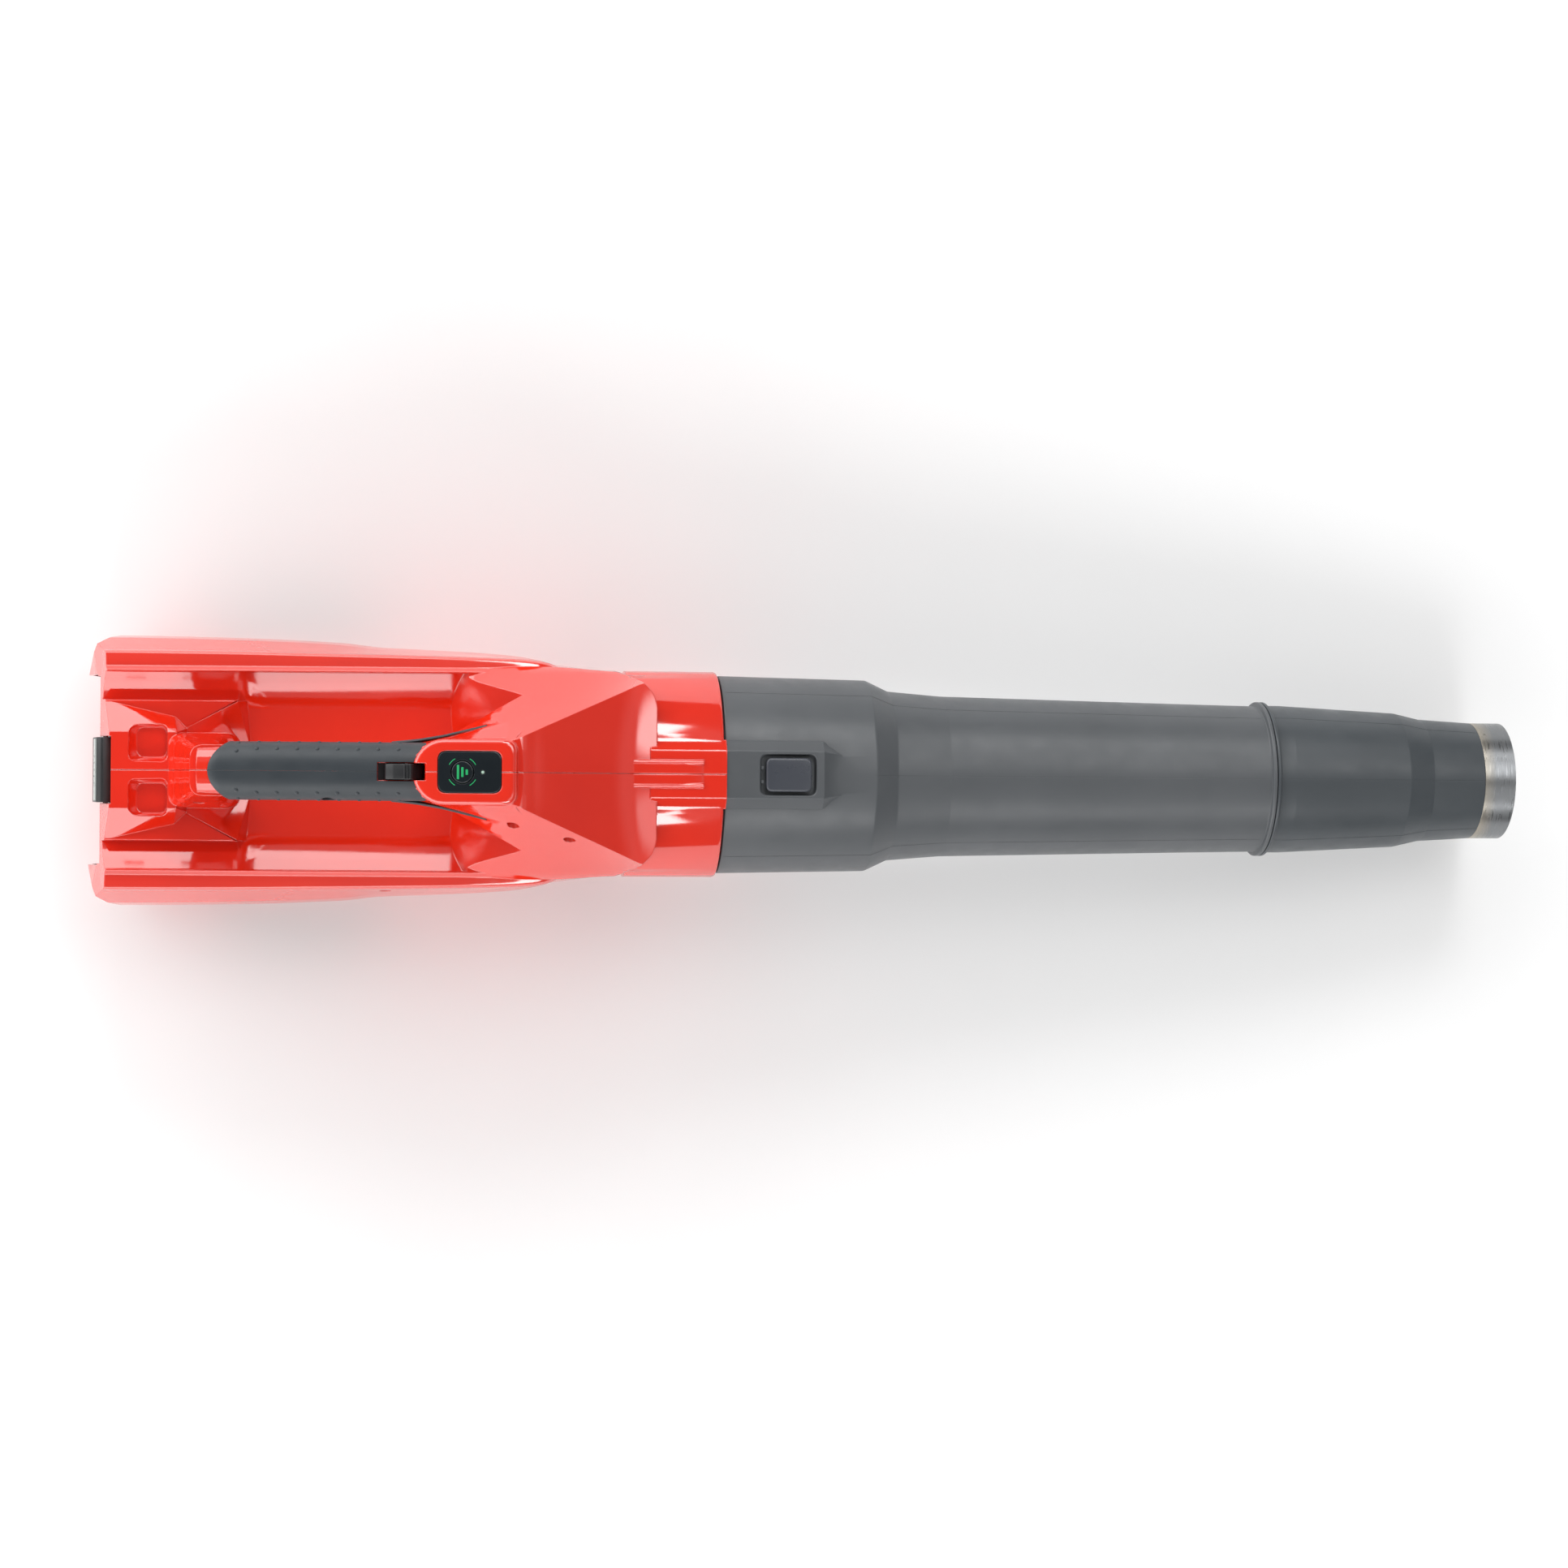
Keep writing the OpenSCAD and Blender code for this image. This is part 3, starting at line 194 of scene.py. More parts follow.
def soft_plate(name, outline_at, z0, z1, r, place=at, k=4):
    """Plate with a rounded top edge; outline_at(inset) gives its outline."""
    rings = [[place(p[0], p[1], z0) for p in outline_at(0)]]
    for i in range(k + 1):
        a = math.pi / 2 * i / k
        rings.append([place(p[0], p[1], z1 - r + r * math.sin(a)) for p in outline_at(r * (1 - math.cos(a)))])
    return loft(name, rings)


def turned(name, outline, n=160, place=duct):
    """Closed outline of (station, radius) turned about the duct axis."""
    rings = []
    for i in range(n):
        a = 2 * math.pi * i / n
        rings.append([place(s, r * math.sin(a), r * math.cos(a)) for s, r in outline])
    m = len(outline)
    verts = [p for r in rings for p in r]
    faces = [(i * m + j, ((i + 1) % n) * m + j, ((i + 1) % n) * m + (j + 1) % m, i * m + (j + 1) % m)
             for i in range(n) for j in range(m)]
    return add_object(name, verts, faces)


def disc(r, n=40):
    return [(r * math.cos(2 * math.pi * i / n), r * math.sin(2 * math.pi * i / n)) for i in range(n)]


def rod(r, place, n=24):
    """Cylinder whose two ends are place(u, v, 0) and place(u, v, 1)."""
    return loft("rod", [[place(p[0], p[1], t) for p in disc(r, n)] for t in (0, 1)])


def rod_y(x, z, r, y0, y1, n=24):
    return rod(r, lambda u, v, t: at(x + u, y0 + (y1 - y0) * t, z + v), n)


def smooth(ob, degrees=32):
    me = ob.data
    for p in me.polygons:
        p.use_smooth = True
    bm = bmesh.new()
    bm.from_mesh(me)
    limit = math.radians(degrees)
    for e in bm.edges:
        e.smooth = len(e.link_faces) == 2 and e.calc_face_angle(0) < limit
    bm.to_mesh(me)
    bm.free()
    return ob


def bevel(ob, width, segments=2, angle=30):
    m = ob.modifiers.new("bevel", "BEVEL")
    m.width = width * MM
    m.segments = segments
    m.limit_method = "ANGLE"
    m.angle_limit = math.radians(angle)
    m.harden_normals = False
    graph = bpy.context.evaluated_depsgraph_get()
    me = bpy.data.meshes.new_from_object(ob.evaluated_get(graph))
    ob.modifiers.clear()
    ob.data = me
    return ob


def finish_piece(ob, name, material, body, replaces=(), degrees=32):
    ob.name = name
    ob.data.name = name
    ob.data.materials.clear()
    ob.data.materials.append(material)
    smooth(ob, degrees)
    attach(ob, body)
    if replaces:
        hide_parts(*replaces)
    return ob


def unite(first, *others):
    for o in others:
        boolean(first, o, "UNION")
    return first


def subtract(first, *others):
    for o in others:
        boolean(first, o)
    return first


# ---------------------------------------------------------------- materials
def srgb(r, g, b):
    def f(c):
        c /= 255
        return c / 12.92 if c <= 0.04045 else ((c + 0.055) / 1.055) ** 2.4
    return (f(r), f(g), f(b), 1)


class Nodes:
    """Small helper that adds shader nodes and links them."""

    def __init__(self, name):
        self.mat = bpy.data.materials.new(name)
        self.mat.use_nodes = True
        self.t = self.mat.node_tree
        self.bsdf = self.t.nodes["Principled BSDF"]
        self.coord = self.t.nodes.new("ShaderNodeTexCoord")

    def set(self, **values):
        for k, v in values.items():
            self.bsdf.inputs[k.replace("_", " ")].default_value = v
        return self

    def noise(self, scale, detail=4, rough=0.55, distortion=0.0, stretch=None):
        n = self.t.nodes.new("ShaderNodeTexNoise")
        n.inputs["Scale"].default_value = scale
        n.inputs["Detail"].default_value = detail
        n.inputs["Roughness"].default_value = rough
        n.inputs["Distortion"].default_value = distortion
        source = self.coord.outputs["Object"]
        if stretch:
            m = self.t.nodes.new("ShaderNodeMapping")
            m.inputs["Scale"].default_value = stretch
            self.t.links.new(source, m.inputs["Vector"])
            source = m.outputs["Vector"]
        self.t.links.new(source, n.inputs["Vector"])
        return n.outputs["Fac"]

    def ramp(self, fac, stops):
        r = self.t.nodes.new("ShaderNodeValToRGB")
        els = r.color_ramp.elements
        while len(els) < len(stops):
            els.new(0.5)
        for e, (pos, col) in zip(els, stops):
            e.position = pos
            e.color = col if hasattr(col, "__len__") else (col, col, col, 1)
        self.t.links.new(fac, r.inputs["Fac"])
        return r.outputs["Color"]

    def link(self, out, socket):
        self.t.links.new(out, self.bsdf.inputs[socket])
        return self

    def bump(self, height, strength, distance, rounding=0.0):
        b = self.t.nodes.new("ShaderNodeBump")
        b.inputs["Strength"].default_value = strength
        b.inputs["Distance"].default_value = distance
        self.t.links.new(height, b.inputs["Height"])
        if rounding:
            e = self.t.nodes.new("ShaderNodeBevel")
            e.samples = 6
            e.inputs["Radius"].default_value = rounding
            self.t.links.new(e.outputs["Normal"], b.inputs["Normal"])
        self.t.links.new(b.outputs["Normal"], self.bsdf.inputs["Normal"])
        return self


def gloss_red():
    n = Nodes("gloss_red").set(IOR=2.0)
    n.link(n.ramp(n.noise(9), [(0.35, srgb(217, 36, 15)), (0.65, srgb(224, 41, 18))]), "Base Color")
    n.link(n.ramp(n.noise(60, 6), [(0.3, 0.05), (0.75, 0.12)]), "Roughness")
    return n.bump(n.noise(260, 2), 0.03, 0.0004, rounding=0.0011).mat


def textured(name, low, high, rough=(0.35, 0.5), grain=1500, strength=0.25, rounding=0.0006, blotch=14):
    """Moulded plastic or rubber with fine grain and slight mottling."""
    n = Nodes(name)
    n.link(n.ramp(n.noise(blotch, 5), [(0.3, low), (0.7, high)]), "Base Color")
    n.link(n.ramp(n.noise(80, 5), [(0.3, rough[0]), (0.7, rough[1])]), "Roughness")
    return n.bump(n.noise(grain, 3), strength, 0.00015, rounding=rounding).mat


def metal(name, low, high, rough=(0.2, 0.35), stretch=(1, 1, 1), scale=60):
    n = Nodes(name).set(Metallic=1.0)
    n.link(n.ramp(n.noise(scale, 5, stretch=stretch), [(0.3, low), (0.7, high)]), "Base Color")
    n.link(n.ramp(n.noise(scale * 2, 4, stretch=stretch), [(0.3, rough[0]), (0.7, rough[1])]), "Roughness")
    return n.bump(n.noise(scale * 6, 2, stretch=stretch), 0.08, 0.0002).mat


RED = gloss_red()
RUBBER = textured("grip_rubber", srgb(40, 46, 51), srgb(47, 53, 58), (0.42, 0.55), 1800, 0.3)
TUBE = textured("tube_plastic", srgb(72, 75, 78), srgb(79, 82, 85), (0.36, 0.46), 1300, 0.22)
NOZZLE = textured("nozzle_plastic", srgb(55, 60, 64), srgb(62, 67, 71), (0.34, 0.45), 1300, 0.2)
BLACK = textured("black_plastic", srgb(24, 25, 27), srgb(32, 33, 35), (0.35, 0.5), 900, 0.2)
# painted shade: a dark purple that stands in for the red bay interior seen in deep shadow
BAY_SHADE = textured("bay_painted_shade", srgb(34, 16, 22), srgb(46, 20, 28), (0.4, 0.6), 900, 0.2)
PANEL = textured("panel_plastic", srgb(18, 23, 27), srgb(25, 31, 35), (0.16, 0.24), 600, 0.08)
BUTTON = textured("button_plastic", srgb(58, 61, 68), srgb(68, 71, 78), (0.25, 0.33), 700, 0.1)
FOOT = textured("foot_rubber", srgb(22, 22, 23), srgb(30, 30, 31), (0.6, 0.75), 700, 0.4)
GREEN = textured("green_print", srgb(28, 150, 88), srgb(40, 168, 100), (0.35, 0.45), 700, 0.05, rounding=0)
LIP = textured("latch_lip", srgb(160, 166, 163), srgb(174, 180, 177), (0.2, 0.3), 600, 0.1)
BOARD = textured("board", srgb(22, 84, 45), srgb(30, 98, 55), (0.3, 0.45), 500, 0.3)
WIRE_RED = textured("wire_red", srgb(150, 20, 16), srgb(176, 26, 20), (0.35, 0.5), 400, 0.1)
WIRE_BLACK = textured("wire_black", srgb(26, 26, 28), srgb(36, 36, 38), (0.35, 0.5), 400, 0.1)
CELL = textured("cell_wrap", srgb(48, 110, 150), srgb(60, 124, 166), (0.2, 0.3), 300, 0.05)
LENS = textured("lens", srgb(170, 200, 182), srgb(188, 215, 198), (0.08, 0.15), 400, 0.02, rounding=0)
STEEL = metal("bright_steel", srgb(170, 172, 176), srgb(190, 192, 196), (0.22, 0.36))
LAMINATE = metal("laminations", srgb(110, 112, 116), srgb(136, 138, 142), (0.3, 0.5), (40, 1, 1))
COPPER = metal("copper", srgb(176, 98, 52), srgb(200, 120, 70), (0.25, 0.4))
CONTACT = metal("contacts", srgb(196, 162, 92), srgb(214, 182, 112), (0.2, 0.3))
CAST = metal("heat_sink", srgb(150, 152, 156), srgb(172, 174, 178), (0.4, 0.55))


# ---------------------------------------------------------------- housing
SCREW_HEAD_R, SCREW_R = 4.0, 2.25
BORE_R, BORE_START = 66.4, -112
MOUTH_HALF, LATCH_HALF = 64.8, 22.4
GRILLE_X, GRILLE_Z = (-362.3, -245.7), (23.7, 72.3)
SEAM = 0.12
BODY_L = [-440, -412, -335, -257, -233, -200, -165, -138, -124, -114, -106]
BODY_W = [93.4, 93.4, 92.3, 89.2, 86.4, 84.9, 83.2, 81.0, 78.6, 76.0, 72.0]
SHOULDER = [79.6, 79.6, 79.2, 78.0, 77.6, 77.0, 76.2, 75.4, 74.6, 73.4, 70.5]
UNDER = [8, 8, 8, 8, 8, 8, 10, 16, 23.5, 30, 35]
TOP = [152, 152, 152, 152, 152, 152, 151.5, 150, 148.5, 147, 144]


def body_half(x, g=0.0, top=155.5):
    w = curve_through(BODY_L, BODY_W, x) - g
    ws = curve_through(BODY_L, SHOULDER, x) - g
    zb = curve_through(BODY_L, UNDER, x) + g
    zs = curve_through(BODY_L, TOP, x) - 2 - g
    rim = min(zs + 5.5, top)
    pts = [(0, zb), (w - 24, zb), (w - 9, zb + 7), (w - 2, (80 + zb) / 2 + 6), (w, 80), (w - 2.5, 104),
           (ws + 1.6, zs - 8), (ws, zs), (70 - g, zs + 1.8), (67.2 - g, rim), (0, rim)]
    return open_round(pts, [14, 14, 30, 40, 40, 5, 2.2, 1.2, 0.8], 4)


def body_loft(g, x0=-440, x1=-106, top=155.5, step=6):
    n = int((x1 - x0) / step)
    xs = [x0 + (x1 - x0) * i / n for i in range(n + 1)]
    return loft("body", [[at(x, y, z) for y, z in mirrored(body_half(x, g, top))] for x in xs])


NOSE_L = [-172, -140, -112, -100, -85, -66, -46, -36]
NOSE_W = [76.0, 75.6, 74.6, 73.6, 72.6, 71.2, 70.0, 69.7]
NOSE_B = [30, 30, 32, 37, 45, 54, 61, 62.5]

RIDGE_L = [-172, -163, -144.5, -124, -112, -100, -75, -56, -46, -36]
RIDGE_Z = [172, 191, 230, 250.5, 243.5, 234.5, 213.5, 198.5, 192.5, 189.5]


def nose_half(x, g=0.0, n_low=22, n_up=20, n_flank=10, n_top=16):
    """Half section of the hood: a rounded box at the back that turns into the duct ring at the front."""
    w = curve_through(NOSE_L, NOSE_W, x) - g
    zb = curve_through(NOSE_L, NOSE_B, x) + g
    zc = DUCT_Z - x * TAN
    r = 69.5 - g
    t = float(np.clip((x + 124) / 78, 0, 1))
    tb = float(np.clip((x + 112) / 60, 0, 1))
    tb = tb * tb * (3 - 2 * tb)
    turn = math.pi / 2 - 0.12
    box = open_round([(0, zb), (w - 24, zb), (w - 9, zb + 8), (w - 1, zb + 34), (w, 96)], [16, 16, 20], 5)
    low_a = resample(box, n_low)
    low_b = np.array([(r * math.sin(a), zc - r * math.cos(a)) for a in np.linspace(0, turn, n_low)])
    low = low_a * (1 - tb) + low_b * tb
    up_a = resample(open_round([(w, 96), (w - 1.5, 118), (71.2 - g, 149)], [30], 4), n_up)
    up_b = np.array([(r * math.sin(a), zc - r * math.cos(a)) for a in np.linspace(turn, turn + 0.34, n_up)])
    up = up_a * (1 - tb) + up_b * tb
    ridge = np.array([21 + 38.5 * t - g, curve_through(RIDGE_L, RIDGE_Z, x) - g])
    u = np.linspace(0, 1, n_flank)[:, None]
    flank = up[-1] * (1 - u) + ridge * u
    y = ridge[0] * (1 - np.linspace(0, 1, n_top))
    crown = 1.0 + 9.2 * t ** 1.3
    top = np.stack([y, ridge[1] + crown * (1 - (y / max(ridge[0], 1)) ** 2)], 1)
    return [tuple(p) for p in np.concatenate([low, up[1:], flank[1:], top[1:]])]


def nose_loft(g):
    xs = list(np.linspace(-172, -124, 9)) + list(np.linspace(-120, -36, 29))
    return loft("nose", [[at(x, y, z) for y, z in mirrored(nose_half(x, g))] for x in xs])


def mirror_outline(half):
    """Closed plan outline from points on the +Y side, ordered front to back."""
    return [tuple(p) for p in half] + [(p[0], -p[1]) for p in reversed([tuple(q) for q in half])]


def nose_trim():
    half = open_round([(-36, 0), (-36, 44), (-38.5, 53), (-46, 60.5), (-62, 67.5), (-84, 75), (-112, 79),
                       (-200, 100)], [10, 14, 6, 16, 30, 30], 5)
    return prism_z(mirror_outline(half[1:]), -20, 400)


def rear_trim():
    side = [(-422, -10), (-428, 10), (-430.9, 40), (-430.9, 97), (-413, 138), (-402, 165), (-380, 250),
            (300, 250), (300, -10)]
    side = closed_round(side, [0, 8, 10, 12, 20, 6, 0, 0, 0], 4)
    half = [(300, 120), (-385, 99), (-413, 93), (-423, 81), (-429, 66), (-431.0, 48)]
    radii = [0, 30, 12, 12, 12, 30]
    plan = closed_round([(x, -y) for x, y in reversed(half)] + half, radii[::-1] + radii, 5)
    return prism_y(side, -200, 200), prism_z(plan, -50, 400)


TROUGH = [(0, 140), (30, 140), (40, 140.2), (47, 141.4), (54, 144.3), (60, 147.7), (66.2, 151.9), (66.5, 158),
          (70, 158), (70, 100), (0, 100)]


def trough_cutter():
    plan = [(-470, 66.2), (-158, 66.2), (-122, 52.6), (-126, 50.5), (-152, 35), (-166, 29), (-178, 23)]
    cutter = prism_z(mirror_outline(plan), 110, 320)
    profile = open_round(TROUGH, [60, 60, 60, 60, 60, 0.6, 0, 0, 0], 5)[:-2]
    ground = mirrored(profile + [Vector((70, 100)), Vector((0, 100))])
    boolean(cutter, prism_x(ground, -480, -60))
    # slanted end faces of the trough
    for side in (1, -1):
        p1, p3, p2 = at(-163, side * 63.2, 155.6), at(-126, side * 51, 188), at(-176, side * 28, 140)
        u, v = (p3 - p2), (p1 - p2)
        n = u.cross(v).normalized()
        if n.z < 0:
            n = -n
        c = (p1 + p2 + p3) / 3
        a = u.normalized()
        b = n.cross(a)
        quad = [c + a * i * 0.2 + b * j * 0.2 for i, j in ((-1, -1), (1, -1), (1, 1), (-1, 1))]
        block = loft("block", [[q - n * 0.2 for q in quad], quad])
        keep = solid_box((-300, 0), (0, side * 200), (0, 400))
        boolean(block, keep, "INTERSECT")
        boolean(cutter, block)
    return cutter


def front_leg():
    table = [(128, -178, 24, -150, 38, 46), (141, -178, 24, -150, 34, 44), (161, -177, 22.5, -150, 31, 44),
             (185, -177, 21.5, -150, 30, 44), (206, -182, 21, -149, 30, 41), (220, -190, 20, -148, 29.5, 35),
             (236, -196, 17.5, -149, 24.5, 27.5), (248, -186, 15, -149, 20.5, 21)]
    rings = []
    zs = np.linspace(128, 248, 25)
    for z in zs:
        row = [curve_through([r[0] for r in table], [r[i] for r in table], z) for i in range(1, 6)]
        xr, yr, xm, ym, yf = row
        xf = -104 - 20 * float(np.clip((z - 222) / 24, 0, 1))
        half = open_round([(xr - 6, 0), (xr - 5, yr * 0.62), (xr + 6, yr), (xm, ym), (-126, yf), (xf, yf + 2),
                           (xf, 0)], [8, 10, 60, 30, 0.1], 5)
        other = [(p[0], -p[1]) for p in reversed(half[1:-1])]
        rings.append([at(x, y, z) for x, y in [tuple(p) for p in half] + other])
    return loft("front_leg", rings)


def rear_leg():
    table = [(128, -368, -318, 25), (157, -367, -319, 25), (164, -363, -320, 24.4), (172, -358.5, -321, 23.3),
             (182, -355, -321, 22), (194, -350, -320, 20.4), (210, -344.5, -317, 19), (225, -339, -312, 17.8),
             (238, -335, -306, 16.5)]
    rings = []
    for z in list(np.linspace(128, 158, 4)) + list(np.linspace(160, 238, 40)):
        xa, xb, hy = [curve_through([r[0] for r in table], [r[i] for r in table], z) for i in (1, 2, 3)]
        rings.append([at(x, y, z) for x, y in rounded_rect((xa + xb) / 2, 0, xb - xa, 2 * hy, 9)])
    return loft("rear_leg", rings)


def hull_of(points):
    bm = bmesh.new()
    bmesh.ops.convex_hull(bm, input=[bm.verts.new(at(*p)) for p in points])
    me = bpy.data.meshes.new("hull")
    bm.to_mesh(me)
    bm.free()
    ob = bpy.data.objects.new("hull", me)
    bpy.context.scene.collection.objects.link(ob)
    return ob


def deck():
    """Raised deck behind the grip: a low plate, a higher middle, and a slope from one to the other."""
    plate = prism_z([(-440, -47.3), (-319, -47.3), (-354, -27.5), (-354, 27.5), (-319, 47.3), (-440, 47.3)],
                    130, 151.2)
    bevel(plate, 1.4, 2)
    ridge = hull_of([(x, s * y, z) for s in (1, -1) for x, y, z in
                     ((-440, 25.3, 165.3), (-357, 25.3, 165.3), (-440, 46.6, 151.0), (-404, 46.0, 151.0),
                      (-361, 36.0, 151.0), (-353, 28.0, 151.0), (-440, 46.6, 135), (-353, 28.0, 135))])
    for side in (1, -1):
        slope = hull_of([(x, side * y, z) for x, y, z in
                         ((-319, 46.6, 151.0), (-356, 27.0, 151.0), (-314, 47.2, 140.1), (-312, 16.0, 140.1),
                          (-356, 12.0, 150.0), (-319, 46.6, 136), (-356, 27.0, 136), (-314, 47.2, 136),
                          (-312, 16.0, 136), (-356, 12.0, 136))])
        unite(plate, slope)
    return unite(plate, ridge)


GRIP_Z = 231.0
PANEL_X = -153.1


def grip_ring(x, g=0.0, n=56, bulge=0.0):
    zc = GRIP_Z - 9 * max(0, (-225 - x) / 150) ** 2
    hy, hz = 18.9 - g, 19 - g
    out = []
    for i in range(n):
        a = 2 * math.pi * i / n
        c, s = math.cos(a), math.sin(a)
        y = hy * math.copysign(abs(c) ** 0.82, c)
        z = hz * math.copysign(abs(s) ** 0.82, s)
        out.append((x + bulge * (y / hy) ** 2, y, zc + z))
    return out


def pod():
    def outline(inset):
        lx, ly = 31 - inset, 21 - inset
        pts = []
        for i in range(17):
            a = math.pi / 2 + math.pi * i / 16
            pts.append((-170 + (20 - inset) * math.cos(a), ly * math.sin(a)))
        front = closed_round([(-170, -ly), (-154 + lx, -ly), (-154 + lx, ly), (-170, ly)], [0, 8, 8, 0], 5)
        return pts + [tuple(p) for p in front[6:18]]
    return soft_plate("pod", outline, 214, 256, 3.2)


def ring_parts():
    ring_len = 62
    outline = [(-ring_len, 1), (-ring_len, 69.5), (-2.2, 69.5), (-0.6, 68.9), (0, 67.4), (0, 1)]
    ring = turned("ring", outline, 144)
    pad = prism_x(closed_round([(-22.8, 50), (-22.8, 64.6), (-15.6, 71.2), (15.6, 71.2), (22.8, 64.6),
                                (22.8, 50)], [0, 1, 1.6, 1.6, 1, 0], 3), -49, 1.4, duct)
    rib_side = open_round([(-64, 60), (-64, 72.6), (-30, 72.8), (-12, 71.3), (-12, 60)], [2, 6, 4], 4)
    rib = prism_y(rib_side, -6.9, 6.9, duct)
    parts = [ring, pad, rib]
    for side in (1, -1):
        bead = rod(1.5, lambda u, v, t: duct(-60 + 46 * t, side * 7.6 + u, 71.3 + v), 16)
        parts.append(bead)
    return unite(*parts)


def screw_spots():
    return [(-222, 129), (-128, 222), (-92, 212), (-246, GRIP_Z + 6), (-338, 186), (-396, 24), (-250, 24),
            (-142, 34)]


def housing():
    side_trim, plan_trim = rear_trim()
    shell = body_loft(0)
    nose = nose_loft(0)
    boolean(nose, nose_trim(), "INTERSECT")
    unite(shell, nose)
    toe = loft("toe", [[at(x, y, z) for x, y in rounded_rect(-114, 0, lx, ly, 6)]
                       for z, lx, ly in ((8, 30, 58), (10, 33, 61), (40, 42, 70), (64, 46, 76))])
    unite(shell, toe)
    boolean(shell, trough_cutter())
    unite(shell, deck())
    boolean(shell, side_trim, "INTERSECT", keep=True)
    boolean(shell, plan_trim, "INTERSECT", keep=True)
    # hollow
    inner = body_loft(3.0, -436, -109, 137.0, 12)
    hood_inner = nose_loft(3.2)
    unite(inner, hood_inner)
    floor_keep = trough_cutter()
    for v in floor_keep.data.vertices:
        v.co.z -= 3.2 * MM
    boolean(inner, floor_keep)
    for tool, shift in ((side_trim, 3.4), (plan_trim, 0)):
        for v in tool.data.vertices:
            v.co.x += shift * MM
            v.co.y *= 0.965
        boolean(inner, tool, "INTERSECT")
    boolean(shell, inner)
    unite(shell, front_leg(), rear_leg(), pod())
    core = loft("core", [[at(*p) for p in grip_ring(x, 1.9)] for x in np.linspace(-330, -180, 12)])
    unite(shell, core)
    unite(shell, ring_parts())
    subtract(shell, turned_bore(BORE_R, BORE_START, 20),
             solid_box((-460, -393), (-MOUTH_HALF, MOUTH_HALF), (44, 127)),
             solid_box((-460, -410), (-63.5, 63.5), (120, 135)),
             solid_box((-460, -395), (-LATCH_HALF, LATCH_HALF), (124, 160)),
             solid_box((-460, -400.8), (-LATCH_HALF, LATCH_HALF), (150, 170)))
    for side in (1, -1):
        boolean(shell, soft_pocket(side))
    subtract(shell,
             prism_z(rounded_rect(PANEL_X, 0, 41.2, 27.2, 6), 254, 270),
             prism_z(rounded_rect(PANEL_X, 0, 36, 22, 4), 242, 270),
             solid_box((-213, -181), (-5.5, 5.5), (226, 270)),
             solid_box((-241, -181), (-7.8, 7.8), (200, 232)))
    for x, z in screw_spots():
        boolean(shell, rod_y(x, z, SCREW_HEAD_R, -200, -12.0))
        boolean(shell, rod_y(x, z, SCREW_R, -18, 12.6))
    for side in (1, -1):
        boolean(shell, solid_box(GRILLE_X, span(side, 60, 120), GRILLE_Z))
    halves = []
    for side, name in ((1, "housing_left"), (-1, "housing_right")):
        half = shell.copy()
        half.data = shell.data.copy()
        bpy.context.scene.collection.objects.link(half)
        boolean(half, solid_box((-500, 60), span(side, SEAM, 150), (-10, 400)), "INTERSECT")
        halves.append(finish_piece(half, name + "_shell", RED, "body", (name,), 30))
    bpy.data.objects.remove(shell)
    return halves


def turned_bore(r, s0, s1):
    return turned("bore", [(s0, 0.02), (s0, r), (s1, r), (s1, 0.02)], 144)


def soft_pocket(side):
    """Scoop in the rear deck with a sloping floor."""
    rings = []
    levels = ((170, 1.6, 0), (165.6, 0.6, 0), (163.5, 0, 0), (160, -0.8, 0.5), (157.5, -2.5, 1.5))
    for z, grow, lean in levels:
        outline = rounded_rect(-376.5, side * 18.6, 25 + 2 * grow, 24.6 + 2 * grow, 5)
        rings.append([at(x + lean, y, z - 0.10 * (x + 377)) for x, y in outline])
    return loft("pocket", rings)


housing()


# ---------------------------------------------------------------- grip
def grip():
    bumps = [(-304 + 13 * i, math.radians(deg)) for i in range(9) for deg in (47, 76)]
    for side, name in ((1, "grip_left"), (-1, "grip_right")):
        xs = [-322.4] + list(np.linspace(-320, -176, 40))
        rings = [grip_ring(x, 0.9 if x < -321 else 0.0, bulge=max(0, 10 - (x + 322.4) * 0.25)) for x in xs]
        outer = loft("outer", [[at(*p) for p in ring] for ring in rings])
        inner = loft("inner", [[at(*p) for p in grip_ring(x, 1.75)] for x in np.linspace(-335, -170, 14)])
        boolean(outer, inner)
        boolean(outer, solid_box((-400, -100), span(side, 0.06, 60), (150, 300)), "INTERSECT")
        subtract(outer, solid_box((-213, -150), (-6, 6), (226, 300)),
                 solid_box((-242, -150), (-8.6, 8.6), (200, 228)),
                 rod_y(-246, GRIP_Z + 6, 4.2, -60, 0))
        # bumps along the flanks
        for x, a in bumps:
            ring = [q for q in grip_ring(x) if q[1] * side > 0]
            p = min(ring, key=lambda q: abs(math.atan2(abs(q[1]), q[2] - GRIP_Z) - a))
            n = Vector((0, p[1], p[2] - GRIP_Z)).normalized()
            bm = bmesh.new()
            bmesh.ops.create_uvsphere(bm, u_segments=14, v_segments=8, radius=1.7 * MM)
            me = bpy.data.meshes.new("bump")
            bm.to_mesh(me)
            bm.free()
            ob = bpy.data.objects.new("bump", me)
            bpy.context.scene.collection.objects.link(ob)
            ob.location = at(*p) - n * 0.95 * MM
            bpy.context.view_layer.update()
            boolean(outer, ob, "UNION")
        # wing that runs forward under the pod
        path = [(-206, 18.2, 226.5), (-190, 19.9, 224), (-174, 22.7, 221), (-160, 26.2, 218),
                (-146, 29.8, 214.5)]
        pts = resample(path, 16)
        rings = []
        for i, p in enumerate(pts):
            h = 7.5 - 3.0 * i / 15
            rings.append([at(p[0], side * (p[1] + 1.0 * math.cos(a) * 1.4), p[2] + h * math.sin(a))
                          for a in np.linspace(0, 2 * math.pi, 12, endpoint=False)])
        unite(outer, loft("wing", rings))
        finish_piece(outer, name + "_rubber", RUBBER, "body", (name,), 40)


grip()


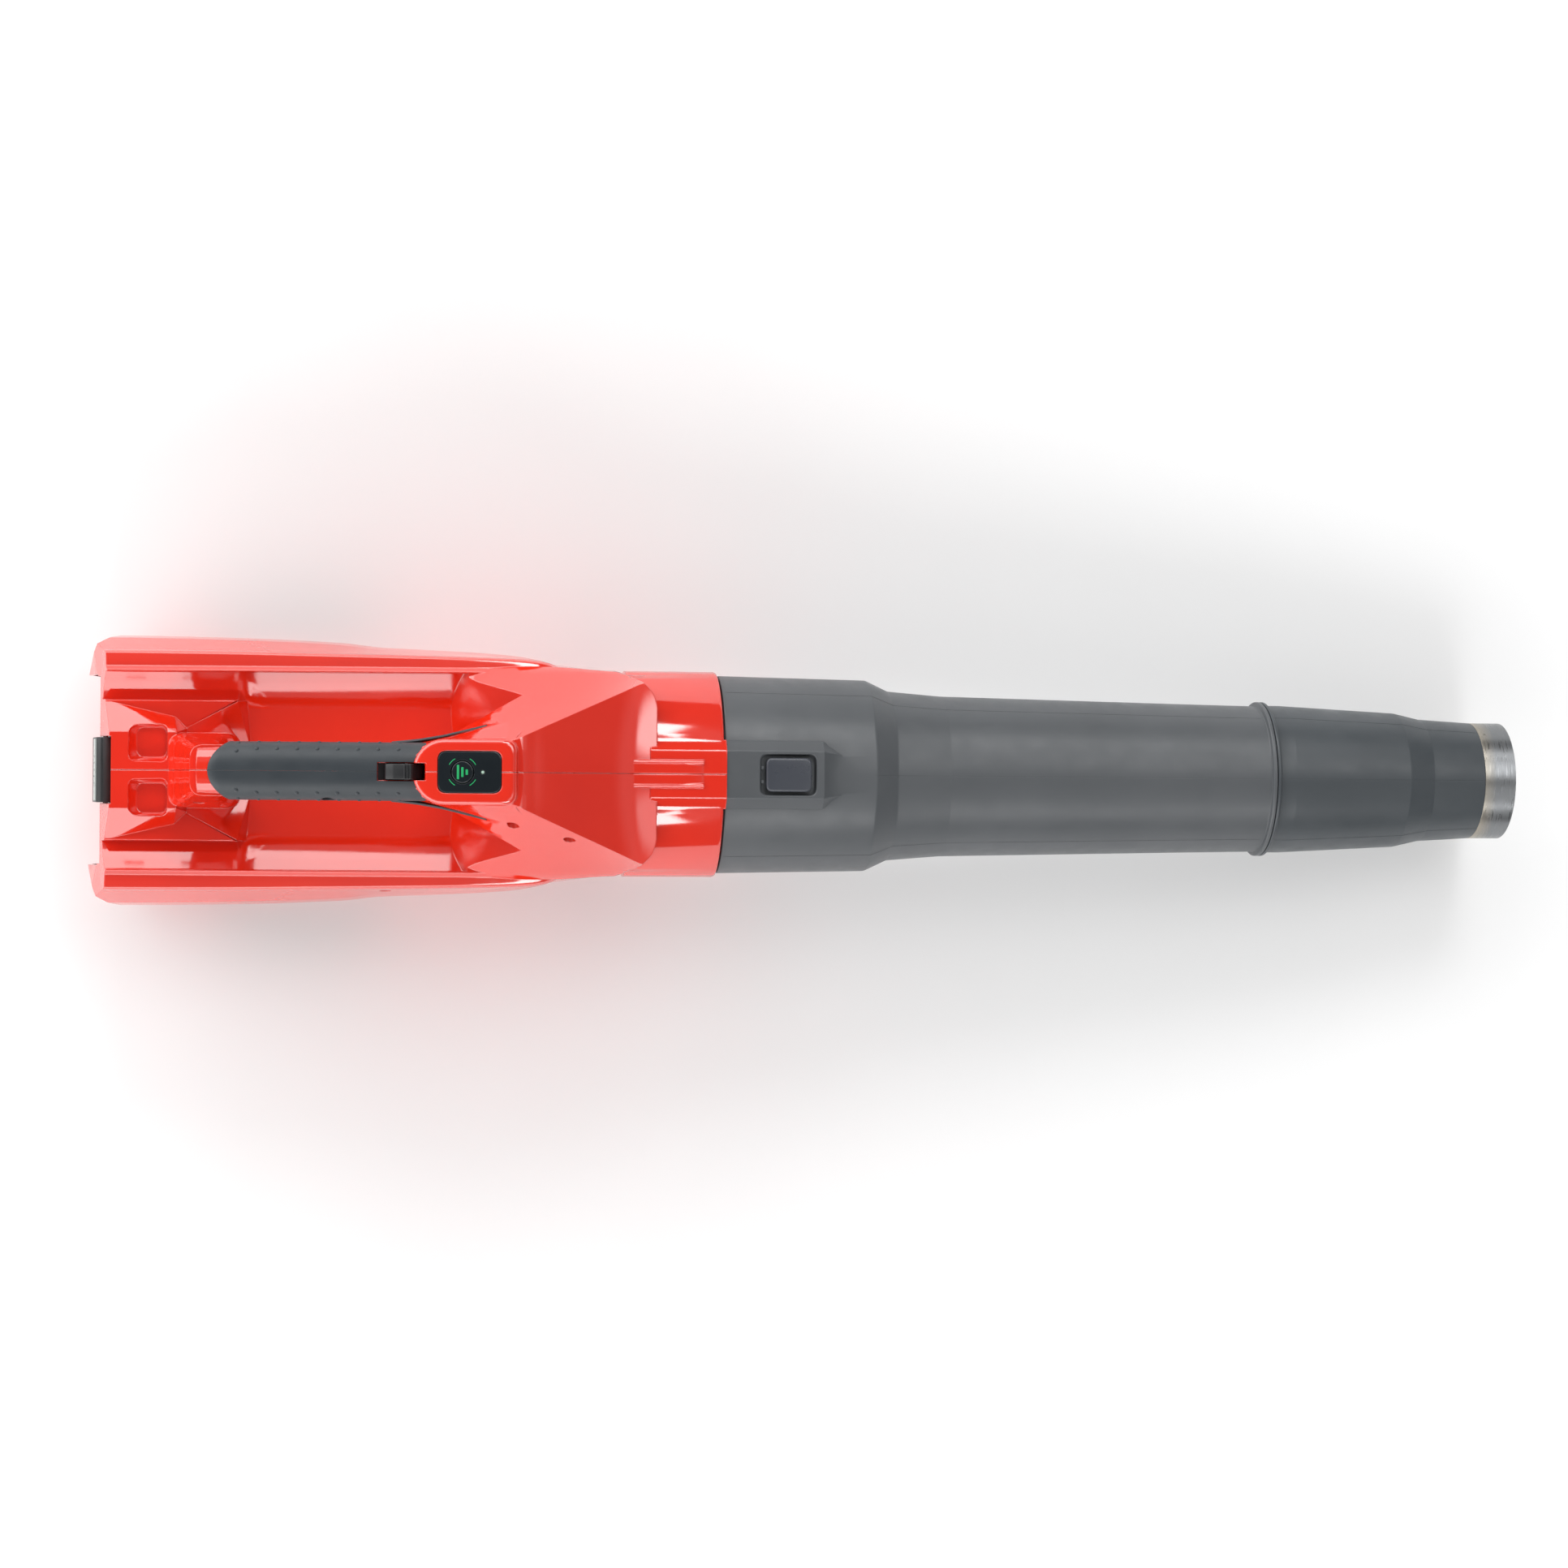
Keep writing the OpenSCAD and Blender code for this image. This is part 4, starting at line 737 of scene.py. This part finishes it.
# ---------------------------------------------------------------- controls on the pod
BUTTON_X, LENS_X = -157.7, -144.8
CRUISE_X, CRUISE_Z = -195, 239


def controls():
    def panel_outline(i):
        return rounded_rect(PANEL_X, 0, 40.8 - 2 * i, 26.8 - 2 * i, 6 - i * 0.5, 8)

    panel = soft_plate("panel", panel_outline, 250.8, 256.0, 0.9)
    subtract(panel, rod_z(BUTTON_X, 0, 7.6, 240, 270, 48), rod_z(LENS_X, 0, 1.35, 240, 270, 24))
    finish_piece(panel, "panel", PANEL, "body", ("turbo_panel",), 40)
    cap = soft_plate("cap", lambda i: [(BUTTON_X + x, y) for x, y in disc(7.2 - i, 56)], 248.6, 256.15, 1.0)
    finish_piece(cap, "round_button", PANEL, "turbo", ("turbo_button",), 40)
    # green print: four short arcs and a stack of bars
    for k in range(4):
        arcs = arc_strip(BUTTON_X, 9.4, 9.9, 45 + 90 * k - 16, 45 + 90 * k + 16, 256.05)
        finish_piece(arcs, f"green_arc_{k}", GREEN, "body")
    bars = None
    for j, (half, off) in enumerate(((4.6, -2.8), (3.2, 0), (1.8, 2.8))):
        bar = soft_plate("bar", lambda i, h=half, o=off: rounded_rect(BUTTON_X + o, 0, 1.5, 2 * h, 0.6),
                         256.1, 256.26, 0.05)
        bars = bar if bars is None else unite(bars, bar)
    finish_piece(bars, "green_bars", GREEN, "turbo")
    lens = soft_plate("lens", lambda i: [(LENS_X + x, y) for x, y in disc(1.2 - i, 24)], 246.3, 255.6, 0.5)
    finish_piece(lens, "status_lens_dome", LENS, "body", ("status_lens",))
    # cruise lever: ribbed thumb tab on a drum
    side = closed_round([(-13.5, 9), (-12.2, 13.2), (-7, 15.4), (1.0, 16.4), (4.0, 16.4), (5.4, 15.2),
                         (7.6, 8), (0, 2)], [1, 2, 4, 1.5, 1, 1, 1, 2], 4)
    tab = prism_y(side, -5.0, 5.0, lambda x, y, z: at(CRUISE_X + x, y, CRUISE_Z + z))
    bevel(tab, 0.7, 2)
    drum = rod_y(CRUISE_X, CRUISE_Z, 11.5, -4.6, 4.6, 48)
    unite(tab, drum)
    for i in range(3):
        unite(tab, rod_y(CRUISE_X + 0.4 + i * 1.9, CRUISE_Z + 16.5, 0.55, -4.6, 4.6, 12))
    boolean(tab, rod_y(CRUISE_X, CRUISE_Z, 2.06, -30, 30, 24))
    finish_piece(tab, "cruise_tab", BLACK, "cruise", ("cruise_lever",))


def rod_z(x, y, r, z0, z1, n=32):
    return rod(r, lambda u, v, t: at(x + u, y + v, z0 + (z1 - z0) * t), n)


def arc_strip(cx, r0, r1, a0, a1, z, n=14):
    angles = [math.radians(a0 + (a1 - a0) * i / n) for i in range(n + 1)]
    outline = [(cx + r1 * math.cos(a), r1 * math.sin(a)) for a in angles]
    outline += [(cx + r0 * math.cos(a), r0 * math.sin(a)) for a in reversed(angles)]
    return prism_z(outline, z - 0.1, z + 0.06)


controls()


# ---------------------------------------------------------------- battery latch
def latch():
    x, z = -404.0, 148.0
    side = [(4, 9), (-4, 13), (-8, 10), (-16, -17), (-17, -21), (-14, -24), (-9.5, -25.7), (-5.5, -25.7),
            (-5, -18), (4, -6)]
    side = closed_round([(x + a, z + b) for a, b in side], [1.5, 3, 3, 3, 3, 2, 0.6, 0.6, 2, 2], 4)
    blade = prism_y(side, -21.8, 21.8)
    bevel(blade, 1.6, 3, 40)
    finish_piece(blade, "latch_blade", BLACK, "latch", ("battery_latch",), 35)
    edge = [(x + a, z + b) for a, b in ((-7.8, 9.4), (-9.1, 9.8), (-12.0, -0.3), (-10.8, -0.8))]
    lip = prism_y(closed_round(edge, [0.2, 0.5, 0.5, 0.2], 3), -20.6, 20.6)
    for i in range(5):
        boolean(lip, rod_z(x - 10.4, -8.8 + 4.4 * i, 0.6, z - 4, z + 20, 14))
    finish_piece(lip, "latch_lip", LIP, "latch")


latch()


# ---------------------------------------------------------------- tube, button, nozzle
def round_profile(points, radii, k=4):
    return [tuple(p) for p in closed_round(points, radii, k)]


def around(degrees):
    """Placement in the duct frame, turned about its axis."""
    t = math.radians(degrees)
    return lambda s, y, z: duct(s, y * math.cos(t) - z * math.sin(t), y * math.sin(t) + z * math.cos(t))


def parting_lines(body, tracks):
    """Fine mould lines cut along tracks of (station, radius), one track for each angle."""
    half = 0.16
    for degrees, depth, track in tracks:
        place = around(-degrees)
        rings = []
        for s, r in track:
            section = ((-half, r - depth), (half, r - depth), (half, r + 3), (-half, r + 3))
            rings.append([place(s, y, z) for y, z in section])
        boolean(body, loft("line", rings))


def tube():
    outer = [(0.8, 63.8), (0.8, 66.8), (102.0, 64.9), (117.5, 57.6), (154, 54.6), (327, 51.1),
             (373, 50.3), (374.6, 50.3), (375.2, 53.2), (377.8, 53.2), (377.8, 47.9), (327, 48.7),
             (154, 52.2), (118.5, 55.2), (103, 62.3), (70, 63.8)]
    radii = [0, 1.2, 5, 5, 14, 40, 0, 0.6, 0.8, 0.8, 0, 30, 10, 4, 4, 3]
    body = turned("tube", round_profile(outer, radii), 192)
    pad = loft("pad", [[duct(s, y, z) for y, z in mirrored(open_round(
        [(0, 40), (22.5 - c, 40), (22.5 - c, 63.2 - d), (15.7 - c * 0.6, 70.5 - d), (0, 70.5 - d)],
        [0, 1.2, 1.6], 4))]
        for s, c, d in ((0.8, 0, 0.0), (62, 0, 0), (66, 0.3, 0.3), (69, 1.6, 2.0), (85, 6.5, 9.0))])
    boolean(body, pad, "UNION")
    boolean(body, turned_bore(63.8, -2, 70))
    taper = round_profile([(69, 0.02), (69, 63.8), (103, 62.3), (118.5, 55.2), (118.5, 0.02)],
                          [0, 0, 2, 2, 0])
    boolean(body, turned("bore", taper, 192))
    well = loft("well", [[duct(x, y, z) for x, y in rounded_rect(42.2, 0, 37 + 2 * g, 26.8 + 2 * g, 5)]
                         for z, g in ((65.8, -0.8), (66.6, 0), (69.9, 0), (70.6, 0.8), (80, 0.8))])
    boolean(body, well)
    boolean(body, solid_box((36.5, 48.5), (-6, 6), (50, 80), duct))
    # bayonet entries inside the far end
    boolean(body, turned("groove", [(360, 20), (360, 49.3), (366, 49.3), (366, 20)], 144))
    for a in (60, 180, 300):
        boolean(body, solid_box((363, 390), (-8.5, 8.5), (40, 49.3), around(a + 24)))
    pts = [(3, 66.72), (102, 64.82), (117.5, 57.6), (154, 54.6), (327, 51.1), (372, 50.32)]
    parting_lines(body, ((0, 0.08, [(88, 66)] + pts[1:]), (55, 0.16, pts), (-55, 0.16, pts)))
    finish_piece(body, "tube_shell", TUBE, "tube_body", ("tube",), 24)


def release_button():
    cap = soft_plate("cap", lambda i: rounded_rect(42.5, 0, 30.3 - 2 * i, 22.3 - 2 * i, 4.4 - 0.5 * i, 6),
                     69.1, 72.0, 1.5, duct, 5)
    stem = solid_box((37, 48), (-5.5, 5.5), (63.7, 70), duct)
    unite(cap, stem)
    finish_piece(cap, "release_cap", BUTTON, "release", ("release_button",), 40)
    for side in (1, -1):
        nub = soft_plate("nub", lambda i: rounded_rect(24.9, side * 4.6, 1.8 - i, 2.2 - i, 0.5), 66, 69.6,
                         0.3, duct)
        finish_piece(nub, f"well_nub_{'l' if side > 0 else 'r'}", TUBE, "tube_body")


def nozzle():
    outline = [(356, 47.5), (378.2, 47.5), (378.2, 53.2), (380.4, 53.2), (381.0, 50.7), (392, 50.7),
               (473, 46.4), (491, 42.3), (527.5, 40.1), (527.6, 39.1), (548, 39.1), (548, 37.1),
               (526, 37.1), (491, 39.9), (473, 44.0), (392, 48.3), (378.4, 45.1), (356, 45.1)]
    radii = [0.5, 0, 0.8, 0.8, 0.6, 20, 6, 6, 0.2, 0, 0.3, 0.3, 4, 6, 6, 10, 4, 0.5]
    body = turned("nozzle", round_profile(outline, radii), 192)
    section = ((-7, 46.5), (7, 46.5), (7, 48.3), (0, 48.9), (-7, 48.3))
    for a in (60, 180, 300):
        place = around(a)
        unite(body, loft("lug", [[place(s, y, z) for y, z in section] for s in (361, 365)]))
    track = [(382, 50.7), (392, 50.7), (473, 46.4), (491, 42.3), (527, 40.1)]
    parting_lines(body, ((0, 0.08, track), (55, 0.16, track), (-55, 0.16, track)))
    finish_piece(body, "nozzle_shell", NOZZLE, "nozzle_body", ("nozzle",), 24)


tube()
release_button()
nozzle()


# ---------------------------------------------------------------- carried CAD nodes
def tip_steel():
    """Rolled sheet steel with fine turning lines and a straw heat tint at its inner edge."""
    n = Nodes("tip_steel").set(Metallic=1.0)
    t = n.t
    sep = t.nodes.new("ShaderNodeSeparateXYZ")
    t.links.new(n.coord.outputs["Object"], sep.inputs["Vector"])
    edge = t.nodes.new("ShaderNodeMapRange")
    edge.inputs["From Min"].default_value = duct(527.6, 0, 0).x
    edge.inputs["From Max"].default_value = duct(549, 0, 0).x
    t.links.new(sep.outputs["X"], edge.inputs["Value"])
    tint = n.ramp(edge.outputs["Result"], [(0.0, srgb(176, 166, 150)), (0.25, srgb(154, 149, 140)),
                                           (0.6, srgb(130, 132, 134))])
    n.link(tint, "Base Color")
    n.link(n.ramp(n.noise(70, 5, stretch=(14, 1, 1)), [(0.3, 0.22), (0.7, 0.42)]), "Roughness")
    return n.bump(n.noise(500, 2, stretch=(8, 1, 1)), 0.12, 0.0002, rounding=0.0004).mat


CARRIED = (
    (BLACK, ("intake_grille_left", "intake_grille_right", "terminal_block", "trigger",
             "trigger_switch", "fan_duct", "inlet_guard", "motor_cap", "impeller", "tail_cone",
             "pack_case_upper", "pack_case_lower", "pack_cell_holder")),
    (FOOT, ("feet", "duct_isolators", "spigot_seal")),
    (STEEL, ("housing_screws", "trigger_pin", "trigger_spring", "cruise_pin", "turbo_spring",
             "latch_pin", "latch_spring", "motor_shaft", "motor_bearings", "impeller_nut",
             "release_spring", "pack_screws")),
    # the battery bay gets the painted-shade dark purple, the red interior as it looks in shadow
    (BAY_SHADE, ("battery_bay",)),
    (CONTACT, ("terminal_blades", "pack_contacts")),
    (CAST, ("controller_case",)),
    (BOARD, ("controller_board", "switch_board", "pack_board")),
    (WIRE_RED, ("power_leads",)),
    (WIRE_BLACK, ("motor_leads", "signal_lead")),
    (LAMINATE, ("motor_stator", "motor_rotor")),
    (COPPER, ("motor_windings",)),
    (tip_steel(), ("nozzle_ring",)),
    (CELL, ("pack_cells",)),
    (PANEL, ("pack_gauge",)),
)
for material, names in CARRIED:
    for node in names:
        ob = frame["nodes"][node]
        ob.data.materials.clear()
        ob.data.materials.append(material)
        smooth(ob, 30)


# ---------------------------------------------------------------- stage, light and camera
def studio():
    bm = bmesh.new()
    bmesh.ops.create_grid(bm, x_segments=1, y_segments=1, size=6)
    me = bpy.data.meshes.new("floor")
    bm.to_mesh(me)
    bm.free()
    floor = bpy.data.objects.new("floor", me)
    bpy.context.scene.collection.objects.link(floor)
    n = Nodes("floor_white").set(Roughness=0.9)
    n.link(n.ramp(n.noise(3), [(0.3, (0.86, 0.86, 0.86, 1)), (0.7, (0.88, 0.88, 0.88, 1))]), "Base Color")
    me.materials.append(n.mat)

    world = bpy.data.worlds.new("studio")
    bpy.context.scene.world = world
    world.use_nodes = True
    bpy.context.scene.view_settings.view_transform = "Standard"
    t = world.node_tree
    coord = t.nodes.new("ShaderNodeTexCoord")
    sep = t.nodes.new("ShaderNodeSeparateXYZ")
    t.links.new(coord.outputs["Generated"], sep.inputs["Vector"])

    def math_node(op, *args):
        n = t.nodes.new("ShaderNodeMath")
        n.operation = op
        for i, a in enumerate(args):
            if hasattr(a, "links"):
                t.links.new(a, n.inputs[i])
            else:
                n.inputs[i].default_value = a
        return n.outputs[0]

    def step(value, low, high):
        n = t.nodes.new("ShaderNodeMapRange")
        n.interpolation_type = "SMOOTHSTEP"
        n.inputs["From Min"].default_value = low
        n.inputs["From Max"].default_value = high
        t.links.new(value, n.inputs["Value"])
        return n.outputs["Result"]

    def band(value, low, high, soft):
        rise, fall = step(value, low - soft, low + soft), step(value, high - soft, high + soft)
        return math_node("SUBTRACT", rise, fall)

    x, y, z = sep.outputs
    height = math_node("MULTIPLY", math_node("ARCSINE", z), 180 / math.pi)
    lean = math_node("MULTIPLY", math_node("ARCTAN2", x, math_node("ABSOLUTE", y)), 180 / math.pi)
    upper = step(y, -0.1, 0.1)
    # low panels beside the rear half that reach higher toward the back, narrow strips beside the middle,
    # a key light high on one side in front, and a dim sky
    top = math_node("MINIMUM", math_node("SUBTRACT", 27, math_node("MULTIPLY", lean, 1.2)), 40)
    below_top = math_node("SUBTRACT", 1, step(math_node("SUBTRACT", height, top), -1.2, 1.2))
    panel = math_node("MULTIPLY", math_node("MULTIPLY", step(height, -5, -3), below_top),
                      band(lean, -82, -1, 2))
    strip = math_node("MULTIPLY", band(height, 29, 45, 0.6), band(lean, -1, 24, 2))
    front = math_node("MULTIPLY", band(height, -4, 40, 8), band(lean, 20, 95, 15))
    key = math_node("MULTIPLY", math_node("MULTIPLY", band(height, 46, 68, 4), band(lean, 18, 75, 8)),
                    math_node("ADD", math_node("MULTIPLY", upper, 0.7), 0.3))
    sides = math_node("ADD", math_node("MULTIPLY", panel, PANEL_LIGHT),
                      math_node("MULTIPLY", strip, STRIP_LIGHT))
    total = math_node("MULTIPLY", sides, math_node("ADD", math_node("MULTIPLY", upper, 0.1), 0.95))
    for part, light in ((front, FRONT_LIGHT), (key, KEY_LIGHT), (band(height, 30, 60, 5), SKY_LIGHT)):
        total = math_node("ADD", total, math_node("MULTIPLY", part, light))
    total = math_node("ADD", total, AMBIENT)
    back = t.nodes["Background"]
    t.links.new(total, back.inputs["Strength"])
    back.inputs["Color"].default_value = (1, 1, 1, 1)


PANEL_LIGHT = 2.9
STRIP_LIGHT = 8.0
FRONT_LIGHT = 0.05
KEY_LIGHT = 3.4
SKY_LIGHT = 0.22
AMBIENT = 0.12


def camera():
    cam = bpy.data.cameras.new("camera")
    cam.sensor_width = 36
    cam.lens = 74.5
    ob = bpy.data.objects.new("camera", cam)
    bpy.context.scene.collection.objects.link(ob)
    ob.location = (-0.012, -0.006, 2.325)
    roll = math.radians(-0.45)
    ob.rotation_euler = (0, 0, -roll)
    bpy.context.scene.camera = ob


studio()
camera()
